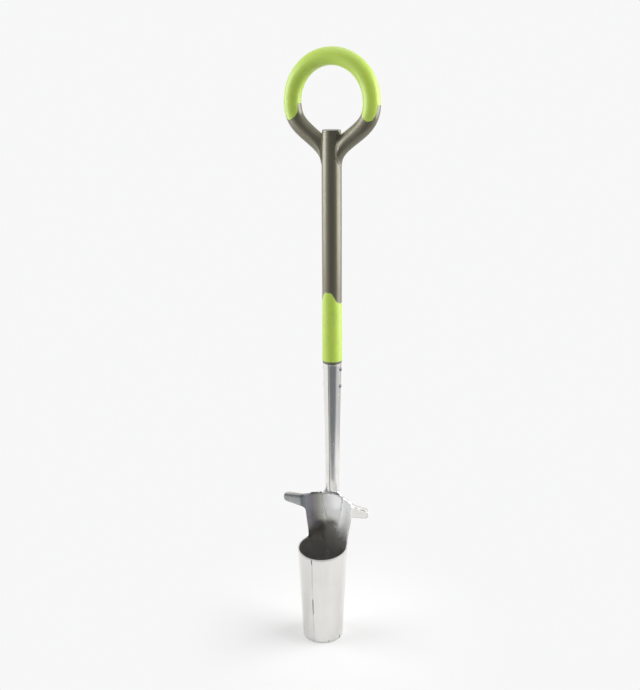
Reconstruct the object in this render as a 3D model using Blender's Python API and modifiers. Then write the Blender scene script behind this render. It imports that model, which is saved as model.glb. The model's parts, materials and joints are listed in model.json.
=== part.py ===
"""Long-handled bulb planter: ring grip, jacketed shaft, rolled socket and rolled cutter with treads.

Metres, +Z up. The tool stands on its cutting edge. +X is its right, -Y its front, where both sheet
seams are. Everything is built about the shaft's axis, which hangs from one empty, so that the
origin is the centre of the footprint on the ground.
"""
import math

import bmesh
import bpy
from mathutils import Matrix, Vector

# Overall sizes
HANDLE_TOP_Z = 1.085
JACKET_END_Z = 0.5390
HEAD_TOP_Z = 0.2725
RIM_FRONT_Z = 0.1815

# Clearance between pieces that seat on each other
GAP = 0.0003
RING_SEAT_GAP = 0.0004

# Grip ring and its arms
RING_R = 0.0737
RING_TUBE_R = 0.0152
ARM_START_DEG = 16.6
ARM_SPAN_DEG = 75.0
ARM_OUTER_DROP = 0.1081
ARM_OUTER_LEAD = 0.0412
ARM_OUTER_RUN_IN = 0.0337
ARM_INNER_DROP = 0.0535
ARM_INNER_LEAD = 0.0114
ARM_INNER_RUN_IN = 0.0244
ARM_INNER_SLOPE_DEG = 36.0
ARM_HALF_DEPTH = 0.0127
ARM_ROUNDNESS = 1.7
ARM_SINK = 0.0012

# Soft grip over the ring
RING_GRIP_WALL = 0.0018
RING_GRIP_END_DEG = 3.0
RING_GRIP_TONGUE_DEG = 24.3
RING_TONGUE_HALF_WIDTH_DEG = 63.0
RING_TONGUE_ROUNDNESS = 2.2

# Shaft jacket and its soft sleeve
SHAFT_R = 0.0175
SHAFT_TOP_STEP = 0.0010
SHAFT_STAND = 0.0089
SLEEVE_PROUD = 0.0008
SLEEVE_TOP_PROUD = 0.0003
SLEEVE_WALL = 0.0018
SLEEVE_LIFT = 0.0045
SLEEVE_LENGTH = 0.1065
SLEEVE_TONGUE_RISE = 0.0215
SLEEVE_TONGUE_HALF_WIDTH_DEG = 41.0
SLEEVE_TONGUE_SHARPNESS = 4.5

# End cap in the ring
CAP_THICKNESS = 0.0040
CAP_PLUG_DEPTH = 0.0100

# Steel core of the shaft
CORE_WALL = 0.0015
CORE_BEYOND_SPIGOT = 0.0020
JACKET_WALL = 0.0048

# Socket: a rolled cone that is pinched flat at its foot, with a tongue inside the cutter
SOCKET_STEP = 0.0002
SOCKET_WAIST_R = 0.0131
SOCKET_WAIST_SHARE = 0.212
SOCKET_SHEET = 0.0016
SOCKET_SEAM = 0.0006
SPIGOT_LENGTH = 0.0560
PINCH_START = 0.0395
PINCH_NECK = 0.0135
PINCH_LIFT = 0.0030
PINCH_HALF_DEPTH = 0.0032
PINCH_HALF_WIDTH = 0.0198
NECK_HALF_DEPTH = 0.0100
NECK_HALF_WIDTH = 0.0136
NECK_FORWARD = 0.0015
TONGUE_LENGTH = 0.0625
TONGUE_END_HALF_WIDTH = 0.0100

# Rivets through socket, spigot and core
RIVET_R = 0.0025
RIVET_HEAD_R = 0.0038
RIVET_HEAD_HEIGHT = 0.0016
RIVET_DEPTH = {"upper": 0.0118, "lower": 0.0439}
DRILL_TURN_DEG = 7.0

# Cutter: a rolled tapered tube, open in front above its rim, with treads spread at its top
CUTTER_BASE_R = 0.0381
CUTTER_TAPER = 0.0451
CUTTER_AXIS_Y = -0.0444
CUTTER_SHEET = 0.0020
CUTTER_SEAM = 0.0006
RIM_SIDE_RISE = 0.0055
RIM_FILLET = 0.0070
OPEN_HALF_ANGLE_DEG = 62.5
SPREAD = 0.0100
SPREAD_LENGTH = 0.0620
SPREAD_END = 0.0205
EDGE_GROWTH = 0.0062

# Treads
TREAD_HALF_SPAN = 0.0875
TREAD_SWEEP_DEG = 13.5
TREAD_BEND_R = 0.0120
TREAD_ROOT_HEIGHT = 0.0253
TREAD_RISE = 0.26
TREAD_ROOT_FILLET = 0.0080
TREAD_TIP_CORNER = 0.0050
TREAD_DEPTH = 0.0095
TREAD_ROOT_DEPTH = 0.0065
TREAD_CORNER = 0.0040
TREAD_END_CUT = 0.75
FOLD_R = 0.0040
LIP_ANGLE_DEG = 15.0

# Weld beads
BEAD_R = 0.0013

# Facets
TURN_STEPS = 36
GRIP_ROWS = 24
TONGUE_ROWS = 4
ARM_ROWS = 10
SLEEVE_COLUMNS = 48
SOCKET_COLUMNS = 16
CUTTER_FRONT_COLUMNS = 17
CUTTER_BACK_COLUMNS = 22
FILLET_COLUMNS = 4

# Sizes that follow from those above
RING_Z = HANDLE_TOP_Z - RING_R - RING_TUBE_R
TONGUE_GAP_DEG = math.degrees(GAP / RING_TUBE_R)
ARM_ROOT_Z = RING_Z - ARM_OUTER_DROP
ARM_TOP_Z = RING_Z - ARM_INNER_DROP
SHAFT_TOP_Z = RING_Z - RING_R + RING_TUBE_R + SHAFT_STAND
SHAFT_TOP_R = SHAFT_R - SHAFT_TOP_STEP
SLEEVE_R = SHAFT_R + SLEEVE_PROUD
SLEEVE_TOP_R = SHAFT_R + SLEEVE_TOP_PROUD
SLEEVE_BOTTOM_Z = JACKET_END_Z + SLEEVE_LIFT
SLEEVE_SIDE_Z = SLEEVE_BOTTOM_Z + SLEEVE_LENGTH
CAP_R = SHAFT_TOP_R - 0.0005
SOCKET_TOP_R = SHAFT_R - SOCKET_STEP
SOCKET_TOP_Z = JACKET_END_Z - GAP
SPIGOT_END_Z = JACKET_END_Z - SPIGOT_LENGTH
CORE_R = SHAFT_R - JACKET_WALL - GAP
CORE_BOTTOM_Z = SPIGOT_END_Z - CORE_BEYOND_SPIGOT
RIVET_Z = {which: JACKET_END_Z - depth for which, depth in RIVET_DEPTH.items()}
PINCH_START_Z = HEAD_TOP_Z + PINCH_START
SOCKET_WAIST_Z = PINCH_START_Z + SOCKET_WAIST_SHARE * (SOCKET_TOP_Z - PINCH_START_Z)
PINCH_NECK_Z = HEAD_TOP_Z + PINCH_NECK
PINCH_Z = HEAD_TOP_Z + PINCH_LIFT
TONGUE_BOTTOM_Z = HEAD_TOP_Z - TONGUE_LENGTH
FOLD_Z = HEAD_TOP_Z - FOLD_R
TREAD_ROOT_Z = HEAD_TOP_Z - TREAD_ROOT_HEIGHT
RIM_SIDE_Z = RIM_FRONT_Z + RIM_SIDE_RISE
FREE_EDGE_Z = RIM_SIDE_Z + RIM_FILLET
SPREAD_END_Z = HEAD_TOP_Z - SPREAD_END
SPREAD_START_Z = SPREAD_END_Z - SPREAD_LENGTH
FOOTPRINT_FRONT_Y = CUTTER_AXIS_Y - CUTTER_BASE_R - CUTTER_TAPER * RIM_FRONT_Z
FOOTPRINT_BACK_Y = SLEEVE_R
SHAFT_Y = -(FOOTPRINT_FRONT_Y + FOOTPRINT_BACK_Y) / 2


def clear_scene():
    for scene_object in list(bpy.data.objects):
        bpy.data.objects.remove(scene_object, do_unlink=True)


def new_collection(name):
    collection = bpy.data.collections.new(name)
    bpy.context.scene.collection.children.link(collection)
    return collection


def new_material(name, color, roughness, metallic):
    material = bpy.data.materials.new(name)
    material.use_nodes = True
    shader = material.node_tree.nodes["Principled BSDF"]
    shader.inputs["Base Color"].default_value = (*color, 1.0)
    shader.inputs["Roughness"].default_value = roughness
    shader.inputs["Metallic"].default_value = metallic
    material.diffuse_color = (*color, 1.0)
    return material


clear_scene()
PARTS = new_collection("long_handled_bulb_planter")
CUTTERS = new_collection("cutters")

RESIN = new_material("grey_brown_resin", (0.115, 0.105, 0.085), 0.45, 0.0)
SOFT_GREEN = new_material("lime_soft_grip", (0.42, 0.55, 0.12), 0.60, 0.0)
STAINLESS = new_material("stainless_steel", (0.62, 0.62, 0.61), 0.28, 1.0)
CORE_STEEL = new_material("carbon_steel", (0.35, 0.35, 0.36), 0.45, 1.0)
WELD = new_material("weld_metal", (0.28, 0.27, 0.26), 0.60, 1.0)

AXIS = bpy.data.objects.new("shaft_axis", None)
AXIS.location = (0.0, SHAFT_Y, 0.0)
AXIS.empty_display_size = 0.05
PARTS.objects.link(AXIS)


def smoothstep(value, start, end):
    t = min(1.0, max(0.0, (value - start) / (end - start)))
    return t * t * (3.0 - 2.0 * t)


def lerp(a, b, t):
    return a + (b - a) * t


def place(obj, material, collection=PARTS):
    """Put an object in its collection, under the shaft axis, with its material."""
    for owner in list(obj.users_collection):
        owner.objects.unlink(obj)
    collection.objects.link(obj)
    obj.parent = AXIS
    if material is not None:
        obj.data.materials.clear()
        obj.data.materials.append(material)
    if collection is CUTTERS:
        obj.hide_render = True
        obj.display_type = "WIRE"
    return obj


def shade(obj, angle_deg=35.0):
    obj.data.shade_smooth()
    obj.data.set_sharp_from_angle(angle=math.radians(angle_deg))


def mesh_object(name, verts, faces, material, collection=PARTS):
    mesh = bpy.data.meshes.new(name)
    mesh.from_pydata([tuple(v) for v in verts], [], faces)
    mesh.update()
    return place(bpy.data.objects.new(name, mesh), material, collection)


class Sheet:
    """Grids of points that share their edges and make one surface."""

    def __init__(self):
        self.bm = bmesh.new()

    def grid(self, rows, closed=False):
        """Add rows of points; faces look along (step within a row) x (step between rows)."""
        verts = [[self.bm.verts.new(p) for p in row] for row in rows]
        for lower, upper in zip(verts, verts[1:]):
            count = len(lower) if closed else len(lower) - 1
            for i in range(count):
                j = (i + 1) % len(lower)
                self.bm.faces.new((lower[i], lower[j], upper[j], upper[i]))

    def cap(self, row):
        self.bm.faces.new([self.bm.verts.new(p) for p in row])

    def finish(self, name, material, collection=PARTS):
        bmesh.ops.remove_doubles(self.bm, verts=self.bm.verts[:], dist=1e-6)
        mesh = bpy.data.meshes.new(name)
        self.bm.to_mesh(mesh)
        self.bm.free()
        return place(bpy.data.objects.new(name, mesh), material, collection)


def turned(name, profile, material, steps=TURN_STEPS, collection=PARTS):
    """A closed profile of (radius, z) points, listed down its outer side, turned about the axis."""
    count = len(profile)
    edges = [(i, (i + 1) % count) for i in range(count)]
    mesh = bpy.data.meshes.new(name)
    mesh.from_pydata([(r, 0.0, z) for r, z in profile], edges, [])
    obj = place(bpy.data.objects.new(name, mesh), material, collection)
    screw = obj.modifiers.new("Screw", "SCREW")
    screw.axis = "Z"
    screw.steps = steps
    screw.render_steps = steps
    screw.use_merge_vertices = True
    screw.merge_threshold = 0.00001
    screw.use_smooth_shade = True
    return obj


def turned_solid(name, profile, material, steps=TURN_STEPS, collection=PARTS):
    """An open profile from the axis at the top, down the outer side, to the axis at the foot."""
    edges = [(i, i + 1) for i in range(len(profile) - 1)]
    mesh = bpy.data.meshes.new(name)
    mesh.from_pydata([(r, 0.0, z) for r, z in profile], edges, [])
    obj = place(bpy.data.objects.new(name, mesh), material, collection)
    screw = obj.modifiers.new("Screw", "SCREW")
    screw.axis = "Z"
    screw.steps = steps
    screw.render_steps = steps
    screw.use_merge_vertices = True
    screw.merge_threshold = 0.00001
    screw.use_smooth_shade = True
    return obj


def thicken(obj, thickness, even=True):
    """Give an open surface its thickness behind its faces."""
    solidify = obj.modifiers.new("Solidify", "SOLIDIFY")
    solidify.thickness = thickness
    solidify.offset = -1.0
    solidify.use_even_offset = even
    solidify.use_quality_normals = even
    return obj


def boolean(obj, other, operation):
    modifier = obj.modifiers.new(operation.title(), "BOOLEAN")
    modifier.operation = operation
    modifier.solver = "EXACT"
    modifier.object = other
    return modifier


def arc(center, radius, start_deg, end_deg, count):
    """Points of a circular arc in the plane of a (radius, z) profile."""
    points = []
    for i in range(count + 1):
        a = math.radians(lerp(start_deg, end_deg, i / count))
        points.append((center[0] + radius * math.cos(a), center[1] + radius * math.sin(a)))
    return points


# Ring, arms and their soft grip

def tongue_angles():
    """Angles round the ring's tube, from front, closer together where a tongue's edge passes."""
    edge = RING_TONGUE_HALF_WIDTH_DEG
    half = [0.0, 0.35 * edge, 0.65 * edge, 0.85 * edge, 0.955 * edge, edge, edge + TONGUE_GAP_DEG]
    half += [(half[-1] + 90.0) / 2, 90.0]
    front = [-a for a in reversed(half[1:])] + half
    back = [180.0 - a for a in reversed(half[:-1])] + [180.0 + a for a in half[1:-1]]
    return front + back


def grip_edge_deg(tube_deg, widen_deg=0.0):
    """How far below the horizontal the grip ends, at an angle round the tube from front or back."""
    from_face = abs((tube_deg + 90.0) % 180.0 - 90.0)
    share = min(1.0, from_face / (RING_TONGUE_HALF_WIDTH_DEG + widen_deg))
    reach = (1.0 - share ** RING_TONGUE_ROUNDNESS) ** (1.0 / RING_TONGUE_ROUNDNESS)
    return RING_GRIP_END_DEG + (RING_GRIP_TONGUE_DEG - RING_GRIP_END_DEG) * reach


def seat_edge_deg(tube_deg):
    """Where the ring's own surface starts, clear of the grip's edge both ways."""
    return grip_edge_deg(tube_deg, TONGUE_GAP_DEG) + math.degrees(GAP / (RING_R - RING_TUBE_R))


def bezier(p0, p1, p2, p3, t):
    u = 1.0 - t
    return p0 * u ** 3 + p1 * 3 * u * u * t + p2 * 3 * u * t * t + p3 * t ** 3


def ring_edge(below_deg, radius):
    below = math.radians(below_deg)
    return Vector((radius * math.cos(below), 0.0, RING_Z - radius * math.sin(below)))


def tube_station(below_deg):
    """Inner edge, outer edge, half depth and roundness of the ring's tube or of the arm.

    The angle runs down from the horizontal: -90 is the ring's top, and past ARM_START_DEG the
    tube leaves the ring and becomes an arm, which ends in the shaft's side.
    """
    on_ring = min(below_deg, ARM_START_DEG)
    inner = ring_edge(on_ring, RING_R - RING_TUBE_R)
    outer = ring_edge(on_ring, RING_R + RING_TUBE_R)
    if below_deg <= ARM_START_DEG:
        return inner, outer, RING_TUBE_R, 2.0
    t = (below_deg - ARM_START_DEG) / ARM_SPAN_DEG
    start = math.radians(ARM_START_DEG)
    slope = math.radians(ARM_INNER_SLOPE_DEG)
    lead = Vector((-math.sin(start), 0.0, -math.cos(start)))
    into_shaft = Vector((-math.cos(slope), 0.0, -math.sin(slope)))
    top = Vector((SHAFT_R - ARM_SINK, 0.0, ARM_TOP_Z))
    root = Vector((SHAFT_R - ARM_SINK, 0.0, ARM_ROOT_Z))
    inner = bezier(inner, inner + lead * ARM_INNER_LEAD, top - into_shaft * ARM_INNER_RUN_IN, top, t)
    outer = bezier(outer, outer + lead * ARM_OUTER_LEAD,
                   root + Vector((0.0, 0.0, ARM_OUTER_RUN_IN)), root, t)
    grown = smoothstep(t, 0.0, 1.0)
    return inner, outer, lerp(RING_TUBE_R, ARM_HALF_DEPTH, grown), lerp(2.0, ARM_ROUNDNESS, grown)


def power(value, exponent):
    return math.copysign(abs(value) ** exponent, value)


def oval_point(station, tube_deg, inset=0.0):
    """A point of a section; 0 is its front, 90 its outer side. The inset is from the surface."""
    inner, outer, depth, roundness = station
    tube = math.radians(tube_deg)
    across = (outer - inner).normalized()
    reach = (outer - inner).length / 2 - inset
    side = power(math.sin(tube), 2.0 / roundness) * reach
    front = power(math.cos(tube), 2.0 / roundness) * (depth - inset)
    return (inner + outer) / 2 + across * side + Vector((0.0, -front, 0.0))


def tube_row(below, angles, inset=0.0):
    """Points round the tube; below gives the angle below the horizontal for each of them."""
    return [oval_point(tube_station(below(a)), a, inset) for a in angles]


def tongue_stops():
    """Angles below the horizontal of the rows that cross the tongues."""
    return [lerp(RING_GRIP_END_DEG, RING_GRIP_TONGUE_DEG, i / TONGUE_ROWS) for i in range(1, TONGUE_ROWS + 1)]


def rows_to_edge(edge_deg, inset, angles):
    """Rows from the ring's top down its right side, ending on the tongue's outline."""
    rows = []
    for i in range(GRIP_ROWS // 2 + 1):
        rows.append(tube_row(level(lerp(-90.0, RING_GRIP_END_DEG, i / (GRIP_ROWS // 2))), angles, inset))
    for stop in tongue_stops():
        rows.append(tube_row(lambda a: min(stop, edge_deg(a)), angles, inset))
    return rows


def make_ring_and_arms():
    """Half of the ring, stepped in under the grip, mirrored over the shaft."""
    angles = tongue_angles()
    inset = RING_GRIP_WALL + RING_SEAT_GAP
    rows = rows_to_edge(seat_edge_deg, inset, angles)
    rows.append(tube_row(seat_edge_deg, angles, inset))
    rows.append(tube_row(seat_edge_deg, angles))
    for stop in tongue_stops()[:-1]:
        rows.append(tube_row(lambda a: max(stop, seat_edge_deg(a)), angles))
    first = seat_edge_deg(0.0) + 1.0
    for i in range(ARM_ROWS + 1):
        rows.append(tube_row(level(lerp(first, ARM_START_DEG + ARM_SPAN_DEG, i / ARM_ROWS)), angles))
    middle = (Vector((0.0, 0.0, ARM_TOP_Z - ARM_SINK)), Vector((0.0, 0.0, ARM_ROOT_Z + ARM_SINK)),
              ARM_HALF_DEPTH - ARM_SINK, ARM_ROUNDNESS)
    rows.append([oval_point(middle, a) for a in angles])
    sheet = Sheet()
    sheet.grid([row[::-1] for row in rows], closed=True)
    ring = sheet.finish("ring_and_arms", None, CUTTERS)
    mirror = ring.modifiers.new("Mirror", "MIRROR")
    mirror.use_axis = (True, False, False)
    mirror.merge_threshold = 0.00001
    return ring


def make_ring_grip():
    rows = rows_to_edge(grip_edge_deg, 0.0, tongue_angles())
    left_rows = [[Vector((-p.x, p.y, p.z)) for p in row] for row in rows]
    sheet = Sheet()
    sheet.grid(rows[::-1] + left_rows[1:], closed=True)
    grip = sheet.finish("ring_grip", SOFT_GREEN)
    thicken(grip, RING_GRIP_WALL, even=False)
    shade(grip, 50.0)
    return grip


# Shaft jacket, sleeve, cap and core

def sleeve_top_z(turn_deg, widen_deg=0.0):
    from_face = abs((turn_deg + 90.0) % 180.0 - 90.0)
    half_width = SLEEVE_TONGUE_HALF_WIDTH_DEG + widen_deg
    rise = 1.0 / (1.0 + (from_face / half_width) ** SLEEVE_TONGUE_SHARPNESS)
    return SLEEVE_SIDE_Z + SLEEVE_TONGUE_RISE * rise


def round_row(radius, height):
    """One row of points round the shaft; height gives z at an angle from front."""
    row = []
    for i in range(SLEEVE_COLUMNS):
        turn_deg = 360.0 * i / SLEEVE_COLUMNS
        turn = math.radians(turn_deg)
        row.append((radius * math.sin(turn), -radius * math.cos(turn), height(turn_deg)))
    return row


def level(z):
    return lambda turn_deg: z


def make_jacket_blank():
    """The shaft's jacket from its spigot to its top, stepped in where the sleeve sits."""
    seat_r = SLEEVE_R - SLEEVE_WALL - GAP
    widen_deg = math.degrees(GAP / SLEEVE_R)
    bottom = SLEEVE_BOTTOM_Z - GAP

    def seat_top(turn_deg):
        return sleeve_top_z(turn_deg, widen_deg) + GAP

    rows = [
        round_row(spigot_r(SPIGOT_END_Z), level(SPIGOT_END_Z)),
        round_row(spigot_r(JACKET_END_Z), level(JACKET_END_Z)),
        round_row(SHAFT_R - 0.0010, level(JACKET_END_Z)),
        round_row(SHAFT_R, level(JACKET_END_Z + 0.0010)),
        round_row(SHAFT_R, level(bottom)),
        round_row(seat_r, level(bottom)),
        round_row(seat_r, seat_top),
        round_row(SHAFT_R, seat_top),
        round_row(SHAFT_R, level(ARM_ROOT_Z - 0.020)),
        round_row(SHAFT_TOP_R, level(SHAFT_TOP_Z - 0.012)),
        round_row(SHAFT_TOP_R, level(SHAFT_TOP_Z)),
    ]
    sheet = Sheet()
    sheet.grid(rows, closed=True)
    sheet.cap(reversed(rows[0]))
    sheet.cap(rows[-1])
    return sheet.finish("jacket_blank", None, CUTTERS)


def socket_outer_r(z):
    slope = (SOCKET_TOP_R - SOCKET_WAIST_R) / (SOCKET_TOP_Z - SOCKET_WAIST_Z)
    return SOCKET_WAIST_R + slope * max(0.0, z - SOCKET_WAIST_Z)


def spigot_r(z):
    return socket_outer_r(z) - SOCKET_SHEET - GAP


def make_handle(ring):
    """The whole moulding: jacket with a bore, its spigot for the socket, and the ring on top."""
    bore_r = CORE_R + GAP
    handle = copy_as_mesh(ring, "handle_frame", RESIN)
    bore = turned_solid("bore_of_shaft",
                        [(0.0, HANDLE_TOP_Z - RING_R), (bore_r, HANDLE_TOP_Z - RING_R),
                         (bore_r, SPIGOT_END_Z - 0.01), (0.0, SPIGOT_END_Z - 0.01)], None,
                        collection=CUTTERS)
    boolean(handle, make_jacket_blank(), "UNION")
    boolean(handle, bore, "DIFFERENCE")
    for name, z in RIVET_Z.items():
        boolean(handle, make_cross_drill("spigot_drill_" + name, z), "DIFFERENCE")
    shade(handle, 32.0)
    return handle


def copy_as_mesh(source, name, material, collection=PARTS):
    """The evaluated shape of one object as a new object of its own."""
    bpy.context.view_layer.update()
    depsgraph = bpy.context.evaluated_depsgraph_get()
    mesh = bpy.data.meshes.new_from_object(source.evaluated_get(depsgraph))
    mesh.name = name
    bm = bmesh.new()
    bm.from_mesh(mesh)
    bmesh.ops.remove_doubles(bm, verts=bm.verts[:], dist=1e-6)
    bm.to_mesh(mesh)
    bm.free()
    return place(bpy.data.objects.new(name, mesh), material, collection)


def make_sleeve_grip():
    inner_r = SLEEVE_R - SLEEVE_WALL
    low_bend = lerp(SLEEVE_BOTTOM_Z, SLEEVE_SIDE_Z, 0.15)
    rows = [
        round_row(inner_r, level(SLEEVE_BOTTOM_Z)),
        round_row(SLEEVE_R, level(SLEEVE_BOTTOM_Z)),
        round_row(lerp(SLEEVE_R, SLEEVE_TOP_R, 0.15), level(low_bend)),
        round_row(SLEEVE_TOP_R, sleeve_top_z),
        round_row(inner_r, sleeve_top_z),
        round_row(inner_r, level(SLEEVE_BOTTOM_Z)),
    ]
    sheet = Sheet()
    sheet.grid(rows, closed=True)
    sleeve = sheet.finish("sleeve_grip", SOFT_GREEN)
    shade(sleeve)
    return sleeve


def make_end_cap():
    bottom = SHAFT_TOP_Z + GAP
    top = bottom + CAP_THICKNESS
    edge = 0.0012
    profile = [(0.0, top), (CAP_R - edge, top)]
    profile += arc((CAP_R - edge, top - edge), edge, 90.0, 0.0, 3)[1:]
    profile += [(CAP_R, bottom), (CORE_R, bottom), (CORE_R, bottom - CAP_PLUG_DEPTH),
                (0.0, bottom - CAP_PLUG_DEPTH)]
    return turned_solid("shaft_end_cap", profile, RESIN)


def make_core():
    top = SHAFT_TOP_Z - CAP_PLUG_DEPTH
    inner_r = CORE_R - CORE_WALL
    profile = [(inner_r, top), (CORE_R, top), (CORE_R, CORE_BOTTOM_Z), (inner_r, CORE_BOTTOM_Z)]
    core = turned("core_tube", profile, CORE_STEEL, steps=32)
    for name, z in RIVET_Z.items():
        boolean(core, make_cross_drill("core_drill_" + name, z), "DIFFERENCE")
    return core


# Socket

def section_shift(alpha, half_flat, sweep=60.0):
    """How far a point of the pinched section has moved sideways, by its angle from the back."""
    from_middle = abs(alpha) if abs(alpha) <= 90.0 else 180.0 - abs(alpha)
    return math.copysign(half_flat * min(1.0, from_middle / sweep), alpha)


def socket_point(z, alpha):
    """A point of the socket's outer face; alpha is the angle from the back, in degrees."""
    neck = smoothstep(-z, -PINCH_START_Z, -PINCH_NECK_Z)
    pinch = smoothstep(-z, -PINCH_NECK_Z, -PINCH_Z)
    depth = lerp(lerp(socket_outer_r(z), NECK_HALF_DEPTH, neck), PINCH_HALF_DEPTH, pinch)
    width = lerp(lerp(socket_outer_r(z), NECK_HALF_WIDTH, neck), PINCH_HALF_WIDTH, pinch)
    seat_y = wall_y(HEAD_TOP_Z) - GAP - PINCH_HALF_DEPTH
    center_y = lerp(-NECK_FORWARD * neck, seat_y, pinch)
    a = math.radians(alpha)
    x = section_shift(alpha, width - depth) + depth * math.sin(a)
    bow = pinch * x * x / (2.0 * wall_r(HEAD_TOP_Z))
    return Vector((x, center_y + depth * math.cos(a) - bow, z))


def tongue_half_width(z):
    share = (z - TONGUE_BOTTOM_Z) / (PINCH_Z - TONGUE_BOTTOM_Z)
    width = lerp(TONGUE_END_HALF_WIDTH, PINCH_HALF_WIDTH, smoothstep(share, -0.15, 0.85))
    corner = 0.006
    above = z - TONGUE_BOTTOM_Z
    if above < corner:
        width -= corner - math.sqrt(corner ** 2 - (corner - above) ** 2)
    return width


def tongue_point(z, share):
    """A point of the tongue's back face, which lies on the cutter's inner wall."""
    radius = wall_r(z) - GAP
    turn = share * tongue_half_width(z) / radius
    return Vector((radius * math.sin(turn), wall_y(z) - GAP - radius * (1.0 - math.cos(turn)), z))


def make_socket():
    seam_deg = math.degrees(SOCKET_SEAM / 2 / SOCKET_WAIST_R)
    columns = SOCKET_COLUMNS
    front = [lerp(90.0, 180.0 - seam_deg, i / (columns // 2)) for i in range(columns // 2 + 1)]
    back = [lerp(-90.0, 90.0, i / columns) for i in range(columns + 1)]
    alphas = [-a for a in reversed(front)][:-1] + back + front[1:]
    levels = [SOCKET_TOP_Z, SOCKET_WAIST_Z, PINCH_START_Z]
    levels += [lerp(PINCH_START_Z, PINCH_NECK_Z, (i + 1) / 4) for i in range(4)]
    levels += [lerp(PINCH_NECK_Z, PINCH_Z, (i + 1) / 5) for i in range(5)]
    sheet = Sheet()
    sheet.grid([[socket_point(z, a) for a in alphas] for z in levels])
    shares = [0.984, 0.90, 0.77, 0.61, 0.42, 0.22, 0.096, 0.032, 0.008, 0.0]
    tongue_levels = [TONGUE_BOTTOM_Z + TONGUE_LENGTH * share for share in shares]
    rows = [[socket_point(PINCH_Z, a) for a in back]]
    rows += [[tongue_point(z, a / 90.0) for a in back] for z in tongue_levels]
    sheet.grid(rows)
    socket = sheet.finish("socket", STAINLESS)
    thicken(socket, SOCKET_SHEET)
    for name, z in RIVET_Z.items():
        boolean(socket, make_cross_drill("socket_drill_" + name, z), "DIFFERENCE")
    shade(socket, 30.0)
    return socket


# Rivets

def make_cross_drill(name, z):
    """A cutter for the hole that a rivet's shank goes through."""
    drill = turned_solid(name, [(0.0, 0.03), (RIVET_R + GAP, 0.03), (RIVET_R + GAP, -0.03), (0.0, -0.03)],
                         None, steps=16, collection=CUTTERS)
    drill.rotation_mode = "ZYX"
    drill.rotation_euler = (0.0, math.pi / 2, math.radians(DRILL_TURN_DEG))
    drill.location = (0.0, 0.0, z)
    return drill


def make_rivet(which, z):
    """A rivet along X; the undersides of its heads are cut to the socket's round."""
    tip = socket_outer_r(z) + RIVET_HEAD_HEIGHT + GAP
    base = socket_outer_r(z) - 0.0015
    sphere_r = (RIVET_HEAD_R ** 2 + RIVET_HEAD_HEIGHT ** 2) / (2 * RIVET_HEAD_HEIGHT)
    half_deg = math.degrees(math.asin(RIVET_HEAD_R / sphere_r))
    dome = arc((0.0, tip - sphere_r), sphere_r, 90.0, 90.0 - half_deg, 4)
    dome[0] = (0.0, tip)
    profile = dome + [(RIVET_HEAD_R, base), (RIVET_R, base)]
    profile += [(r, -h) for r, h in reversed(profile)]
    rivet = turned_solid("socket_rivet_" + which, profile, STAINLESS, steps=16)
    rivet.rotation_euler = (0.0, math.pi / 2, 0.0)
    rivet.location = (0.0, 0.0, z)
    reach = 0.010
    seat = turned("head_seat_" + which, [
        (RIVET_R + 0.002, z + reach), (socket_outer_r(z + reach) + GAP, z + reach),
        (socket_outer_r(z - reach) + GAP, z - reach), (RIVET_R + 0.002, z - reach)], None,
        steps=48, collection=CUTTERS)
    boolean(rivet, seat, "DIFFERENCE")
    shank = turned_solid("shank_" + which, [
        (0.0, base + 0.0020), (RIVET_R, base + 0.0020), (RIVET_R, -base - 0.0020),
        (0.0, -base - 0.0020)], None, steps=16, collection=CUTTERS)
    shank.rotation_euler = (0.0, math.pi / 2, 0.0)
    shank.location = (0.0, 0.0, z)
    boolean(rivet, shank, "UNION")
    shade(rivet)
    return rivet


# Cutter: all its functions give the inner and front face of the sheet

def inner_r(z):
    return CUTTER_BASE_R - CUTTER_SHEET + CUTTER_TAPER * z


def wall_r(z):
    """Bend radius of the back wall, which opens out above the rim."""
    return inner_r(z) + SPREAD * smoothstep(z, SPREAD_START_Z, SPREAD_END_Z)


def wall_y(z):
    return CUTTER_AXIS_Y + inner_r(z)


def edge_turn(z):
    """Angle from the back of the wall's free edge, about the wall's own bend centre."""
    closed = math.radians(OPEN_HALF_ANGLE_DEG)
    growth = EDGE_GROWTH * smoothstep(z, SPREAD_START_Z, SPREAD_END_Z)
    return (closed * inner_r(min(z, SPREAD_START_Z)) + growth) / wall_r(z) if z > SPREAD_START_Z else closed


def wall_frame(z, share):
    """Point of the back wall and its outward heading, for a share of the way to the free edge."""
    turn = share * edge_turn(z)
    radius = wall_r(z)
    point = Vector((radius * math.sin(turn), wall_y(z) - radius * (1.0 - math.cos(turn)), z))
    return point, turn


def tread_frame(z, reach):
    """Point of the tread at a distance from its root, and its heading."""
    root, start_turn = wall_frame(z, 1.0)
    sweep = math.radians(TREAD_SWEEP_DEG)
    bend_length = (start_turn - sweep) * TREAD_BEND_R
    heading = start_turn - min(reach, bend_length) / TREAD_BEND_R
    x = root.x + TREAD_BEND_R * (math.sin(start_turn) - math.sin(heading))
    y = root.y - TREAD_BEND_R * (math.cos(heading) - math.cos(start_turn))
    straight = max(0.0, reach - bend_length)
    return Vector((x + straight * math.cos(sweep), y - straight * math.sin(sweep), z)), heading


def tread_length(z):
    """Length of the tread's face, from its root to the tip."""
    root, start_turn = wall_frame(z, 1.0)
    sweep = math.radians(TREAD_SWEEP_DEG)
    bend_length = (start_turn - sweep) * TREAD_BEND_R
    end, _ = tread_frame(z, bend_length)
    return bend_length + (TREAD_HALF_SPAN - end.x) / math.cos(sweep)


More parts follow.
